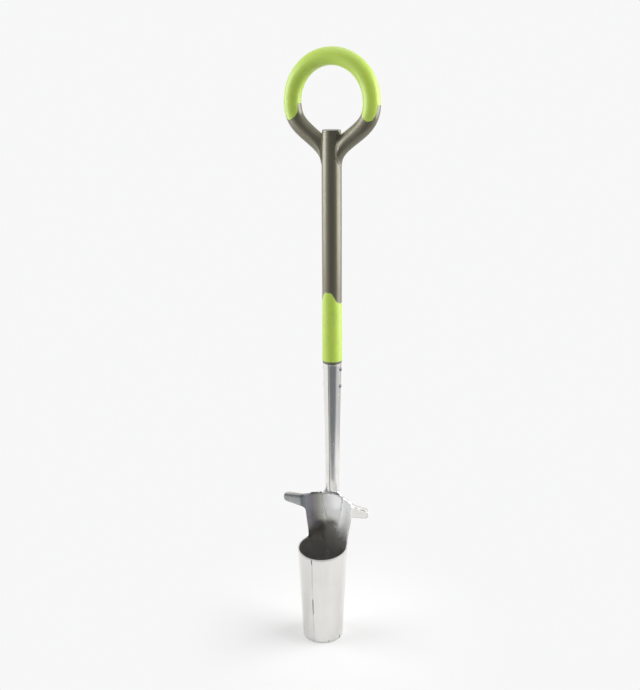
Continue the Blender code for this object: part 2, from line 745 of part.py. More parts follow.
def tread_bottom_z(reach, length):
    """Lower edge of the tread: a fillet at the root, a rising line and a rounded tip corner."""
    line = TREAD_ROOT_Z + TREAD_RISE * reach
    if reach < TREAD_ROOT_FILLET:
        rest = TREAD_ROOT_FILLET - reach
        line -= TREAD_ROOT_FILLET - math.sqrt(TREAD_ROOT_FILLET ** 2 - rest ** 2)
    over = reach - (length - TREAD_TIP_CORNER)
    if over > 0.0:
        line += TREAD_TIP_CORNER - math.sqrt(max(0.0, TREAD_TIP_CORNER ** 2 - over ** 2))
    return line


def back_normal(heading):
    return Vector((math.sin(heading), math.cos(heading), 0.0))


def folded_rows(point, heading, fold_deg, flat):
    """Points over the fold at the top: back and up round the bend, then back along the flat."""
    back = back_normal(heading)
    points = []
    for i in range(1, 4):
        a = math.radians(fold_deg) * i / 3
        points.append(point + back * FOLD_R * (1.0 - math.cos(a)) + Vector((0.0, 0.0, FOLD_R * math.sin(a))))
    a = math.radians(fold_deg)
    rest = (HEAD_TOP_Z - points[-1].z) / max(math.cos(a), 1e-3) if fold_deg < 80.0 else 0.0
    points.append(points[-1] + Vector((0.0, 0.0, rest * math.cos(a))) + back * (rest * math.sin(a) + flat))
    return points


def tread_flat(reach, length):
    """Depth of the flat of the tread behind its fold, with the rounded corner at the tip."""
    grown = smoothstep(reach, -0.004, 0.30 * length)
    flat = lerp(TREAD_ROOT_DEPTH * 0.2, lerp(TREAD_ROOT_DEPTH, TREAD_DEPTH, reach / length) - FOLD_R, grown)
    over = reach - (length - TREAD_CORNER)
    if over > 0.0:
        flat -= TREAD_CORNER - math.sqrt(max(0.0, TREAD_CORNER ** 2 - over ** 2))
    return flat


def mirrored(rows):
    return [[Vector((-p.x, p.y, p.z)) for p in reversed(row)] for row in rows]


def make_cutter():
    sheet = Sheet()
    tread_start_z = TREAD_ROOT_Z - TREAD_ROOT_FILLET
    shares = [lerp(-1.0, 1.0, i / CUTTER_BACK_COLUMNS) for i in range(CUTTER_BACK_COLUMNS + 1)]

    low_levels = [-0.001, 0.5 * FREE_EDGE_Z, FREE_EDGE_Z]
    edge_levels = [lerp(FREE_EDGE_Z, tread_start_z, i / 6) for i in range(7)]
    tread_shares = [i / 5 for i in range(6)]
    tread_levels = [lerp(tread_start_z, FOLD_Z, t) for t in tread_shares]

    levels = low_levels + edge_levels[1:] + tread_levels[1:]
    rows = [[wall_frame(z, s)[0] for s in shares] for z in levels]
    sheet.grid(rows)

    lip = []
    for s in shares:
        point, heading = wall_frame(FOLD_Z, s)
        near_root = smoothstep(abs(s), 0.72, 1.0)
        fold = lerp(LIP_ANGLE_DEG, 90.0, near_root)
        side = folded_rows(Vector((abs(point.x), point.y, point.z)), abs(heading), fold,
                           tread_flat(0.0, tread_length(FOLD_Z)) * near_root)
        lip.append([Vector((math.copysign(p.x, s), p.y, p.z)) for p in side])
    sheet.grid([rows[-1]] + [list(row) for row in zip(*lip)])

    # Front of the tube, from the free edge to the seam, with the fillet at its corner
    edge = math.radians(OPEN_HALF_ANGLE_DEG)
    radius = inner_r(FREE_EDGE_Z)
    seam_turn = math.pi - CUTTER_SEAM / 2 / CUTTER_BASE_R
    fillet_end = edge + RIM_FILLET / radius
    turns = []
    tops = []
    for i in range(FILLET_COLUMNS + 1):
        beta = math.radians(90.0 * i / FILLET_COLUMNS)
        turns.append(edge + RIM_FILLET / radius * (1.0 - math.cos(beta)))
        tops.append(rim_z(turns[-1]) + RIM_FILLET * (1.0 - math.sin(beta)))
    tops[0] = FREE_EDGE_Z
    for i in range(1, CUTTER_FRONT_COLUMNS + 1):
        turns.append(lerp(fillet_end, seam_turn, i / CUTTER_FRONT_COLUMNS))
        tops.append(rim_z(turns[-1]))
    rows = []
    for low_z in low_levels:
        row = []
        for turn, top in zip(turns, tops):
            z = low_z if low_z < 0.0 else top * low_z / FREE_EDGE_Z
            row.append(Vector((inner_r(z) * math.sin(turn), CUTTER_AXIS_Y + inner_r(z) * math.cos(turn), z)))
        rows.append(row)
    sheet.grid(rows)
    sheet.grid(mirrored(rows))

    # Treads
    length = tread_length(FOLD_Z)
    reaches = [TREAD_ROOT_FILLET * (1.0 - math.cos(math.radians(90.0 * i / 4))) for i in range(5)]
    straight_end = length - TREAD_TIP_CORNER
    reaches += [lerp(TREAD_ROOT_FILLET, straight_end, i / 6) for i in range(1, 7)]
    reaches += [straight_end + TREAD_TIP_CORNER * math.sin(math.radians(90.0 * i / 4)) for i in range(1, 5)]
    rows = []
    for t in tread_shares:
        row = []
        for reach in reaches:
            z = lerp(tread_bottom_z(reach, length), FOLD_Z, t)
            share = reach / length
            row.append(tread_frame(z, share * tread_length(z))[0])
        rows.append(row)
    sheet.grid(rows)
    sheet.grid(mirrored(rows))
    flange = []
    for reach in reaches:
        point, heading = tread_frame(FOLD_Z, reach)
        column = folded_rows(point, heading, 90.0, tread_flat(reach, length))
        along = Vector((math.cos(heading), -math.sin(heading), 0.0))
        cut = TREAD_END_CUT * smoothstep(reach, 0.5 * length, length)
        flange.append([p - along * cut * (p - point).dot(back_normal(heading)) for p in column])
    rows = [rows[-1]] + [list(row) for row in zip(*flange)]
    sheet.grid(rows)
    sheet.grid(mirrored(rows))

    cutter = sheet.finish("cutter", STAINLESS)
    thicken(cutter, CUTTER_SHEET)
    boolean(cutter, make_ground_block(), "DIFFERENCE")
    shade(cutter, 30.0)
    return cutter


def make_ground_block():
    """Everything below the ground, which cuts the cutter's foot flat."""
    verts = []
    for z in (-0.02, 0.0):
        verts += [(-0.1, -0.2, z), (0.1, -0.2, z), (0.1, 0.1, z), (-0.1, 0.1, z)]
    faces = [(0, 3, 2, 1), (4, 5, 6, 7), (0, 1, 5, 4), (1, 2, 6, 5), (2, 3, 7, 6), (3, 0, 4, 7)]
    return mesh_object("ground_block", verts, faces, None, CUTTERS)


def rim_z(turn):
    """Height of the front rim, which dips at the seam; turn is the angle from the back."""
    edge = math.radians(OPEN_HALF_ANGLE_DEG)
    return RIM_FRONT_Z + (RIM_SIDE_Z - RIM_FRONT_Z) * (1.0 + math.cos(turn)) / (1.0 + math.cos(edge))


# Welds

def make_bead(name, points, radius=BEAD_R):
    """A weld bead along points, as a tube with closed ends."""
    curve = bpy.data.curves.new(name, "CURVE")
    curve.dimensions = "3D"
    curve.bevel_depth = radius
    curve.bevel_resolution = 2
    curve.use_fill_caps = True
    spline = curve.splines.new("POLY")
    spline.points.add(len(points) - 1)
    for spline_point, p in zip(spline.points, points):
        spline_point.co = (p[0], p[1], p[2], 1.0)
    guide = place(bpy.data.objects.new(name + "_path", curve), None, CUTTERS)
    bead = copy_as_mesh(guide, name, WELD)
    bpy.data.objects.remove(guide, do_unlink=True)
    bead.data.shade_smooth()
    return bead


def make_tongue_weld(name, side):
    """A bead in the corner between one edge of the tongue and the cutter's wall."""
    points = []
    for i in range(13):
        z = lerp(HEAD_TOP_Z - 0.004, TONGUE_BOTTOM_Z + 0.004, i / 12)
        radius = wall_r(z) - GAP - BEAD_R
        turn = (tongue_half_width(z) + 2 * GAP + BEAD_R + 0.0004) / wall_r(z)
        points.append((side * radius * math.sin(turn), wall_y(z) - GAP - BEAD_R - radius * (1 - math.cos(turn)), z))
    return make_bead(name, points)


def make_top_weld():
    """A bead behind the pinched foot, on top of the cutter's wall."""
    points = []
    z = HEAD_TOP_Z + GAP + BEAD_R
    radius = wall_r(HEAD_TOP_Z) + GAP + BEAD_R
    half = PINCH_HALF_WIDTH * 0.85
    for i in range(13):
        turn = lerp(-half, half, i / 12) / radius
        y = wall_y(HEAD_TOP_Z) + GAP + BEAD_R - radius * (1.0 - math.cos(turn))
        points.append((radius * math.sin(turn), y, z))
    return make_bead("head_top_weld", points)


def make_pinch_weld():
    """A rough bead across the mouth of the pinched socket, on the tongue's face."""
    points = []
    z = PINCH_Z - GAP - BEAD_R
    radius = wall_r(z) - GAP - SOCKET_SHEET - GAP - BEAD_R
    half = PINCH_HALF_WIDTH * 0.82
    for i in range(13):
        turn = lerp(-half, half, i / 12) / radius
        y = wall_y(z) - 3 * GAP - SOCKET_SHEET - BEAD_R - radius * (1.0 - math.cos(turn))
        points.append((radius * math.sin(turn), y - 0.0012, z))
    return make_bead("pinch_weld", points)


def make_seam_weld():
    """The bead that closes the front seam from inside."""
    points = []
    for i in range(9):
        z = lerp(0.010, RIM_FRONT_Z - 0.008, i / 8)
        points.append((0.0, CUTTER_AXIS_Y - inner_r(z) + GAP + BEAD_R, z))
    return make_bead("cutter_seam_weld", points)


def main():
    ring = make_ring_and_arms()
    make_handle(ring)
    make_ring_grip()
    make_sleeve_grip()
    make_end_cap()
    make_core()
    make_socket()
    for which, z in RIVET_Z.items():
        make_rivet(which, z)
    make_cutter()
    make_tongue_weld("tongue_weld_right", 1.0)
    make_tongue_weld("tongue_weld_left", -1.0)
    make_top_weld()
    make_pinch_weld()
    make_seam_weld()
    bpy.context.view_layer.update()


main()
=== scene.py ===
"""Looks of the long-handled bulb planter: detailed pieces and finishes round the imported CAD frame."""

import json
import math

import bmesh
import bpy
from mathutils import Matrix, Vector, noise
from mathutils.bvhtree import BVHTree
from mathutils.kdtree import KDTree

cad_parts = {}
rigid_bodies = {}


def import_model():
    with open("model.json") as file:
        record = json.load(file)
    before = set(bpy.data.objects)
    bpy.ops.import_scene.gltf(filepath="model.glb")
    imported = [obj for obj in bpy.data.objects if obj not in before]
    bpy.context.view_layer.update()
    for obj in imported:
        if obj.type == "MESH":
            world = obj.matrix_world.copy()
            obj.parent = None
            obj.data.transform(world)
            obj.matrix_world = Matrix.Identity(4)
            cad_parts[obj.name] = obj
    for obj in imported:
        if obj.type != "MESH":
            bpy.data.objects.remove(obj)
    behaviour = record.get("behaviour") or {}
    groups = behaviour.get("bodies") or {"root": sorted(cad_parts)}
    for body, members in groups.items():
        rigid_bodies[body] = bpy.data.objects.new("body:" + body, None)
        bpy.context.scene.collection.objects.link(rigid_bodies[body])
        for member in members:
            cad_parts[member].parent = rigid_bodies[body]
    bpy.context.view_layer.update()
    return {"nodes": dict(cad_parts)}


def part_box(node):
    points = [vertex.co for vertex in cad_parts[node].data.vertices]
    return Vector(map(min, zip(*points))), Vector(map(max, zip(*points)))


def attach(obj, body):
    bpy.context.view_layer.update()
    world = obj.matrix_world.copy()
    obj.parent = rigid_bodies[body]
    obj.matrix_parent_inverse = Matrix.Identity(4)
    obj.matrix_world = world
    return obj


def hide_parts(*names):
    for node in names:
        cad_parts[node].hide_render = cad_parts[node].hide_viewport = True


bl_info = {
    "name": "Long-handled bulb planter",
    "version": (1, 0, 0),
    "blender": (4, 5, 0),
    "location": "View3D > Sidebar > Bulb planter",
    "description": "Builds the pieces, finishes and studio of a long-handled bulb planter",
    "category": "Object",
}

for left_over in list(bpy.data.objects):
    bpy.data.objects.remove(left_over)
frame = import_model()


# Places that follow from the frame, in metres

CAP_LOW, CAP_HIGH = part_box("shaft_end_cap")
SOCKET_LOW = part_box("socket")[0]
CUTTER_LOW, CUTTER_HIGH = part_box("cutter")
SHAFT_Y = (CAP_LOW.y + CAP_HIGH.y) / 2
CUTTER_R = 0.0463
CUTTER_AXIS_Y = CUTTER_LOW.y + CUTTER_R
TREAD_FROM_X = 0.052
SHEET = 0.0020

# Starts of the lines that are cast along Y at the CAD nodes
FROM_FRONT = -0.1
FROM_FAR_FRONT = -0.2
FROM_INSIDE = -0.02
FROM_BEHIND = 0.12


# Sizes and colours that a user would change

class StudioSettings(bpy.types.PropertyGroup):
    turn: bpy.props.FloatProperty(
        name="Turn", description="Angle of the camera round the tool, from the front",
        default=math.radians(25.74), subtype="ANGLE", unit="ROTATION")
    distance: bpy.props.FloatProperty(
        name="Distance", description="Level distance from the shaft to the camera",
        default=1.5914, subtype="DISTANCE", unit="LENGTH")
    height: bpy.props.FloatProperty(
        name="Height", description="Height of the camera above the floor",
        default=1.0628, subtype="DISTANCE", unit="LENGTH")
    pitch: bpy.props.FloatProperty(
        name="Pitch", description="How far the camera looks down",
        default=math.radians(17.17), subtype="ANGLE", unit="ROTATION")
    yaw: bpy.props.FloatProperty(
        name="Yaw", description="How far the camera looks past the shaft",
        default=math.radians(0.79), subtype="ANGLE", unit="ROTATION")
    roll: bpy.props.FloatProperty(
        name="Roll", description="How far the camera leans",
        default=math.radians(-0.4), subtype="ANGLE", unit="ROTATION")
    lens: bpy.props.FloatProperty(
        name="Lens", description="Focal length on a 36 mm long side",
        default=48.12, subtype="DISTANCE_CAMERA")
    backdrop: bpy.props.FloatVectorProperty(
        name="Backdrop", description="Colour of the floor and the backdrop",
        default=(0.935, 0.935, 0.937), size=3, min=0.0, max=1.0, subtype="COLOR")
    paper: bpy.props.FloatVectorProperty(
        name="Paper", description="Colour of the floor's paper under the lights",
        default=(0.845, 0.845, 0.845), size=3, min=0.0, max=1.0, subtype="COLOR")
    fill: bpy.props.FloatProperty(
        name="Fill", description="Strength of the light from all round", default=0.42, min=0.0)
    left_panel: bpy.props.FloatProperty(
        name="Left panel", description="Power of the soft panel at the front left",
        default=29.0, min=0.0, subtype="POWER", unit="POWER")
    right_panel: bpy.props.FloatProperty(
        name="Right panel", description="Power of the soft panel at the rear right",
        default=51.0, min=0.0, subtype="POWER", unit="POWER")
    top_panel: bpy.props.FloatProperty(
        name="Top panel", description="Power of the soft panel overhead",
        default=14.0, min=0.0, subtype="POWER", unit="POWER")


class FinishSettings(bpy.types.PropertyGroup):
    resin: bpy.props.FloatVectorProperty(
        name="Resin", description="Colour of the handle moulding",
        default=(0.165, 0.152, 0.104), size=3, min=0.0, max=1.0, subtype="COLOR")
    soft_grip: bpy.props.FloatVectorProperty(
        name="Soft grip", description="Colour of the soft grips",
        default=(0.53, 0.73, 0.088), size=3, min=0.0, max=1.0, subtype="COLOR")
    steel: bpy.props.FloatVectorProperty(
        name="Steel", description="Colour of the polished sheet",
        default=(0.835, 0.823, 0.80), size=3, min=0.0, max=1.0, subtype="COLOR")
    weld: bpy.props.FloatVectorProperty(
        name="Weld", description="Colour of the weld metal",
        default=(0.060, 0.056, 0.052), size=3, min=0.0, max=1.0, subtype="COLOR")


# Blending of numbers

def lerp(a, b, t):
    return a + (b - a) * t


def smoothstep(value, start, end):
    t = min(1.0, max(0.0, (value - start) / (end - start)))
    return t * t * (3.0 - 2.0 * t)


def falling(value, start, end):
    """1 up to the start, 0 from the end on."""
    return smoothstep(-value, -end, -start)


# Selection and edit mode

def only(piece):
    """Make a piece the one that is selected and active."""
    if bpy.context.object is not None and bpy.context.object.mode != "OBJECT":
        bpy.ops.object.mode_set(mode="OBJECT")
    bpy.ops.object.select_all(action="DESELECT")
    piece.select_set(True)
    bpy.context.view_layer.objects.active = piece


def enter_edit(piece):
    only(piece)
    bpy.ops.object.mode_set(mode="EDIT")
    bpy.ops.mesh.select_all(action="DESELECT")


def leave_edit():
    bpy.ops.object.mode_set(mode="OBJECT")


def choose(piece, test, kind="FACE"):
    """Select the faces or vertices that pass a test, in edit mode."""
    bpy.ops.mesh.select_mode(type=kind)
    bpy.ops.mesh.select_all(action="DESELECT")
    mesh = bmesh.from_edit_mesh(piece.data)
    for element in {"FACE": mesh.faces, "VERT": mesh.verts}[kind]:
        if test(element):
            element.select_set(True)
    bmesh.update_edit_mesh(piece.data)


def apply_modifier(piece, name, kind, **settings):
    only(piece)
    modifier = piece.modifiers.new(name, kind)
    for key, value in settings.items():
        setattr(modifier, key, value)
    bpy.ops.object.modifier_apply(modifier=modifier.name)


# Copies of CAD nodes, rounded and smoothed

MERGE_DISTANCE = 0.00002
COLLAPSE_DISTANCE = 0.00006
QUAD_FACE_ANGLE = math.radians(40)
QUAD_SHAPE_ANGLE = math.radians(70)
SHARP_ANGLE = math.radians(30.0)
SHADE_DEG = 35.0
BEAD_SHADE_DEG = 60.0

# Width of the rounded edges, and levels of smoothing
ROUNDING = {
    "handle_frame": (0.0004, 1),
    "ring_grip": (0.0004, 2),
    "sleeve_grip": (0.0004, 2),
    "shaft_end_cap": (0.0003, 2),
    "socket": (0.0003, 2),
    "socket_rivet_upper": (0.0002, 1),
    "socket_rivet_lower": (0.0002, 1),
    "cutter": (0.0004, 2),
}


def copy_of_node(node, name):
    """A copy of a CAD node with its triangles merged to a closed mesh of quads."""
    only(frame["nodes"][node])
    bpy.ops.object.duplicate()
    piece = bpy.context.object
    piece.name = piece.data.name = name
    for key in list(piece.keys()):
        del piece[key]
    piece.parent = None
    piece.data.materials.clear()
    enter_edit(piece)
    bpy.ops.mesh.select_all(action="SELECT")
    bpy.ops.mesh.customdata_custom_splitnormals_clear()
    bpy.ops.mesh.remove_doubles(threshold=MERGE_DISTANCE)
    bpy.ops.mesh.dissolve_degenerate(threshold=COLLAPSE_DISTANCE)
    bpy.ops.mesh.tris_convert_to_quads(face_threshold=QUAD_FACE_ANGLE, shape_threshold=QUAD_SHAPE_ANGLE)
    leave_edit()
    return piece


def round_and_smooth(piece, node):
    """Round the sharp edges of a node's copy and smooth what lies between them."""
    width, levels = ROUNDING[node]
    apply_modifier(piece, "Edges", "BEVEL", width=width, segments=2, limit_method="ANGLE",
                   angle_limit=SHARP_ANGLE, use_clamp_overlap=True, miter_outer="MITER_ARC")
    apply_modifier(piece, "Smooth", "SUBSURF", levels=levels, render_levels=levels)


def finish_piece(piece, material, slot, *nodes, smooth_deg=SHADE_DEG):
    """Shade a piece, give it its material and tie it to the frame."""
    only(piece)
    bpy.ops.object.transform_apply(location=True, rotation=True, scale=True)
    bpy.ops.object.shade_smooth_by_angle(angle=math.radians(smooth_deg))
    piece.data.materials.clear()
    piece.data.materials.append(material)
    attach(piece, "root")
    if nodes:
        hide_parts(*nodes)


# Shader building

NODE_STEP = (180, -40)
NODE_ROWS = 7


def rgba(color):
    return (*color[:3], 1.0)


class Graph:
    """Short calls to place and link shader nodes."""

    def __init__(self, tree):
        self.tree = tree
        self.column = 0

    def add(self, kind, settings=None, **inputs):
        node = self.tree.nodes.new(kind)
        self.column += 1
        node.location = (NODE_STEP[0] * self.column, NODE_STEP[1] * (self.column % NODE_ROWS))
        for key, value in (settings or {}).items():
            setattr(node, key, value)
        for key, value in inputs.items():
            self.feed(node, key, value)
        return node

    def feed(self, node, key, value):
        """Set or link an input: i and its number, or its name with underscores for spaces."""
        if key[:1] == "i" and key[1:].isdigit():
            socket = node.inputs[int(key[1:])]
        else:
            socket = node.inputs[key.replace("_", " ")]
        if isinstance(value, bpy.types.NodeSocket):
            self.tree.links.new(value, socket)
        elif socket.type == "RGBA":
            socket.default_value = rgba(value)
        else:
            socket.default_value = value

    def maths(self, operation, a, b):
        return self.add("ShaderNodeMath", {"operation": operation}, i0=a, i1=b).outputs[0]

    def plus(self, a, b):
        return self.maths("ADD", a, b)

    def times(self, a, b):
        return self.maths("MULTIPLY", a, b)

    def span(self, value, low, high, to_low=0.0, to_high=1.0):
        """Turn a range of a value smoothly into another range."""
        return self.add("ShaderNodeMapRange", {"interpolation_type": "SMOOTHSTEP"}, i0=value, i1=low,
                        i2=high, i3=to_low, i4=to_high).outputs[0]

    def mix(self, share, a, b, blend="MIX"):
        return self.add("ShaderNodeMix", {"data_type": "RGBA", "blend_type": blend}, i0=share, i6=a,
                        i7=b).outputs[2]

    def place(self):
        return self.add("ShaderNodeTexCoord").outputs["Object"]

    def stretched(self, scale):
        """Object coordinates, scaled along each axis."""
        return self.add("ShaderNodeMapping", None, Vector=self.place(), Scale=scale).outputs[0]

    def noise_on(self, place, scale, detail, roughness=0.5):
        return self.add("ShaderNodeTexNoise", None, Vector=place, Scale=scale, Detail=detail,
                        Roughness=roughness).outputs[0]

    def noise(self, scale, detail=3.0, roughness=0.55, stretch=(1.0, 1.0, 1.0)):
        return self.noise_on(self.stretched(stretch), scale, detail, roughness)

    def attribute(self, name):
        return self.add("ShaderNodeAttribute", {"attribute_name": name}).outputs["Fac"]


def new_group(name, inputs, outputs):
    """An empty node group with named sockets; the inputs map names to (type, default)."""
    tree = bpy.data.node_groups.new(name, "ShaderNodeTree")
    for title, (kind, default) in inputs.items():
        socket = tree.interface.new_socket(title, in_out="INPUT", socket_type="NodeSocket" + kind)
        socket.default_value = default
    for title, kind in outputs.items():
        tree.interface.new_socket(title, in_out="OUTPUT", socket_type="NodeSocket" + kind)
    graph = Graph(tree)
    graph.source = graph.add("NodeGroupInput")
    graph.sink = graph.add("NodeGroupOutput")
    return graph


def build_smudges():
    """Soft marks of handling: broad clouds, and a finer mottle inside them."""
    g = new_group("smudges", {"Scale": ("Float", 20.0)}, {"Mask": "Float"})
    place, scale = g.place(), g.source.outputs["Scale"]
    clouds = g.span(g.noise_on(place, scale, 2.0), 0.42, 0.68)
    mottle = g.span(g.noise_on(place, g.times(scale, 6.0), 4.0, 0.65), 0.30, 0.75)
    g.feed(g.sink, "Mask", g.times(clouds, mottle))
    return g.tree


def build_moulded_grain():
    """The fine etched grain of a moulding, as a height."""
    g = new_group("moulded_grain", {"Scale": ("Float", 1200.0)}, {"Height": "Float"})
    place, scale = g.place(), g.source.outputs["Scale"]
    grain = g.noise_on(place, scale, 2.0, 0.6)
    pits = g.add("ShaderNodeTexVoronoi", {"feature": "SMOOTH_F1"}, Vector=place, Scale=scale).outputs[0]
    g.feed(g.sink, "Height", g.plus(grain, pits))
    return g.tree


def build_drawn_lines():
    """Fine lines that polishing leaves along the sheet, as a mask and a height."""
    g = new_group("drawn_lines", {"Fineness": ("Float", 900.0)}, {"Mask": "Float", "Height": "Float"})
    lines = g.noise_on(g.stretched((1.0, 1.0, 0.012)), g.source.outputs["Fineness"], 3.0, 0.6)
    broad = g.noise_on(g.stretched((1.0, 1.0, 0.05)), 140.0, 2.0)
    g.feed(g.sink, "Mask", g.times(g.span(lines, 0.35, 0.75), g.span(broad, 0.3, 0.7)))
    g.feed(g.sink, "Height", lines)
    return g.tree


# Ramp of temper colours; its dark purple and blue stops also serve as painted shade on the steel
HEAT_AND_SHADE_DRIFT = 0.14
HEAT_AND_SHADE_STOPS = (
    (0.06, (1.0, 1.0, 1.0)), (0.24, (0.80, 0.785, 0.73)), (0.40, (0.50, 0.485, 0.44)),
    (0.52, (0.36, 0.33, 0.37)), (0.70, (0.32, 0.335, 0.37)), (0.97, (0.84, 0.86, 0.88)),
)


def build_heat_and_shade_tint():
    """Temper colours of steel round a weld, from straw through purple to blue; the dark stops also serve
    as painted shade.
    """
    inputs = {"Heat": ("Float", 0.0), "Metal": ("Color", (0.7, 0.7, 0.7, 1.0))}
    g = new_group("heat_tint", inputs, {"Color": "Color"})
    drift = g.times(g.maths("SUBTRACT", g.noise(95.0, 3.0), 0.5), HEAT_AND_SHADE_DRIFT)
    ramp = g.add("ShaderNodeValToRGB", None, Fac=g.plus(g.source.outputs["Heat"], drift))
    while len(ramp.color_ramp.elements) < len(HEAT_AND_SHADE_STOPS):
        ramp.color_ramp.elements.new(0.5)
    for element, (at, color) in zip(ramp.color_ramp.elements, HEAT_AND_SHADE_STOPS):
        element.position = at
        element.color = rgba(color)
    g.feed(g.sink, "Color", g.mix(1.0, g.source.outputs["Metal"], ramp.outputs[0], "MULTIPLY"))
    return g.tree


def build_edge_wear():
    """Broken wear along the piece's own edges, from its "edge" attribute."""
    g = new_group("edge_wear", {"Scale": ("Float", 400.0)}, {"Mask": "Float"})
    patches = g.noise_on(g.place(), g.source.outputs["Scale"], 3.0, 0.6)
    g.feed(g.sink, "Mask", g.times(g.attribute("edge"), g.span(patches, 0.38, 0.62)))
    return g.tree


GROUP_BUILDERS = {
    "smudges": build_smudges, "moulded_grain": build_moulded_grain, "drawn_lines": build_drawn_lines,
    "heat_tint": build_heat_and_shade_tint, "edge_wear": build_edge_wear,
}
GROUPS = {}


def use_group(graph, name, **inputs):
    """Place a node group in a material; it is built when it is first used."""
    if name not in GROUPS:
        GROUPS[name] = GROUP_BUILDERS[name]()
    return graph.add("ShaderNodeGroup", {"node_tree": GROUPS[name]}, **inputs)


def new_finish(name, color, roughness, metallic=0.0, gloss=None):
    """A material with its shader set; returns the material, its graph and the shader."""
    material = bpy.data.materials.new(name)
    material.use_nodes = True
    material.diffuse_color = rgba(color)
    shader = material.node_tree.nodes["Principled BSDF"]
    values = {"Base Color": rgba(color), "Roughness": roughness, "Metallic": metallic, **(gloss or {})}
    for socket, value in values.items():
        shader.inputs[socket].default_value = value
    return material, Graph(material.node_tree), shader


def bump(graph, shader, height, strength, distance):
    node = graph.add("ShaderNodeBump", None, Strength=strength, Distance=distance, Height=height)
    graph.feed(shader, "Normal", node.outputs[0])


# Finishes

RESIN_ROUGHNESS = 0.35
RESIN_METALLIC = 0.50
RESIN_GLOSS = {"Specular IOR Level": 0.8, "Coat Weight": 0.30, "Coat Roughness": 0.25}
RESIN_DUSTY = (0.26, 0.25, 0.21)
RESIN_HANDLED = (0.115, 0.104, 0.080)
RESIN_WORN = (0.34, 0.33, 0.28)


def resin_finish():
    """Smooth moulding with a fine metal flake, handled smooth and paler along its edges."""
    color = bpy.context.scene.planter_finish.resin
    material, g, shader = new_finish("satin_resin", color, RESIN_ROUGHNESS, RESIN_METALLIC, RESIN_GLOSS)
    marks = use_group(g, "smudges", Scale=16.0).outputs["Mask"]
    dust = g.span(g.noise(60.0, 5.0, 0.7), 0.55, 0.80)
    worn = use_group(g, "edge_wear", Scale=420.0).outputs["Mask"]
    tone = g.mix(g.times(dust, 0.10), color, RESIN_DUSTY)
    tone = g.mix(g.times(marks, 0.22), tone, RESIN_HANDLED)
    g.feed(shader, "Base Color", g.mix(g.times(worn, 0.5), tone, RESIN_WORN))
    g.feed(shader, "Roughness", g.plus(RESIN_ROUGHNESS, g.times(marks, 0.08)))
    grain = use_group(g, "moulded_grain", Scale=1500.0).outputs["Height"]
    bump(g, shader, grain, 0.12, 0.00006)
    return material


GRIP_ROUGHNESS = 0.40
GRIP_GLOSS = {
    "Specular IOR Level": 0.60, "Subsurface Weight": 0.12, "Subsurface Radius": (0.004, 0.005, 0.001),
    "Sheen Weight": 0.45, "Sheen Roughness": 0.3, "Coat Weight": 0.30, "Coat Roughness": 0.28,
}
GRIP_HANDLED = (0.33, 0.44, 0.10)
GRIP_PALE = (0.52, 0.64, 0.24)


def soft_grip_finish():
    """Matt rubber with a fine grain, handled darker in places and paler in others."""
    color = bpy.context.scene.planter_finish.soft_grip
    material, g, shader = new_finish("soft_grip_rubber", color, GRIP_ROUGHNESS, gloss=GRIP_GLOSS)
    marks = use_group(g, "smudges", Scale=22.0).outputs["Mask"]
    pale = g.span(g.noise(35.0, 4.0), 0.50, 0.75)
    tone = g.mix(g.times(marks, 0.35), color, GRIP_HANDLED)
    g.feed(shader, "Base Color", g.mix(g.times(pale, 0.16), tone, GRIP_PALE))
    g.feed(shader, "Roughness", g.plus(GRIP_ROUGHNESS, g.times(marks, 0.14)))
    grain = use_group(g, "moulded_grain", Scale=2200.0).outputs["Height"]
    bump(g, shader, grain, 0.30, 0.00010)
    return material


OUTSIDE_METALLIC = 0.97
INSIDE_METALLIC = 0.68
INSIDE_ROUGHNESS = 0.20
EDGE_ROUGHNESS = 0.32
STEEL_LINED = (0.50, 0.49, 0.48)
STEEL_SOILED = (0.58, 0.56, 0.52)
STEEL_CUT_AND_SHADE = (0.50, 0.49, 0.47)
STEEL_SCUFFED = (0.45, 0.43, 0.40)
STEEL_BLASTED = (0.945, 0.958, 0.960)


def steel_finish(name, roughness, waves):
    """Polished sheet: lines along it, smudges, slow waves, temper colours with painted shade, darker cut
    edges partly painted shade, and a duller inside.
    """
    tone = bpy.context.scene.planter_finish.steel
    material, g, shader = new_finish(name, tone, roughness, OUTSIDE_METALLIC)
    heat_and_shade, inside, edge = (g.attribute(which) for which in ("temper", "inside", "edge"))
    marks = use_group(g, "smudges", Scale=24.0).outputs["Mask"]
    lines = use_group(g, "drawn_lines", Fineness=1100.0)
    lined = lines.outputs["Mask"]
    worn = use_group(g, "edge_wear", Scale=300.0).outputs["Mask"]
    # Cut edges are darker: partly their own duller tone, partly painted shade that holds down the
    # highlights on the rims
    for mask, share, other in ((lined, 0.16, STEEL_LINED), (marks, 0.20, STEEL_SOILED),
                               (edge, 0.45, STEEL_CUT_AND_SHADE), (worn, 0.35, STEEL_SCUFFED)):
        tone = g.mix(g.times(mask, share), tone, other)
    tone = g.mix(inside, tone, STEEL_BLASTED)
    # The temper mark brings temper colours and painted shade
    g.feed(shader, "Base Color", use_group(g, "heat_tint", Heat=heat_and_shade, Metal=tone).outputs["Color"])
    rough = roughness
    for mask, more in ((marks, 0.10), (lined, 0.06), (inside, INSIDE_ROUGHNESS), (edge, EDGE_ROUGHNESS),
                       (worn, 0.15)):
        rough = g.plus(rough, g.times(mask, more))
    g.feed(shader, "Roughness", rough)
    g.feed(shader, "Metallic", g.span(inside, 0.0, 1.0, OUTSIDE_METALLIC, INSIDE_METALLIC))
    slow = g.noise(26.0, 2.0, 0.5, (1.0, 1.0, 0.35))
    height = g.plus(g.times(slow, waves), g.times(lines.outputs["Height"], 0.010))
    bump(g, shader, height, 1.0, 0.0010)
    return material


WELD_SCALE = (0.22, 0.21, 0.19)


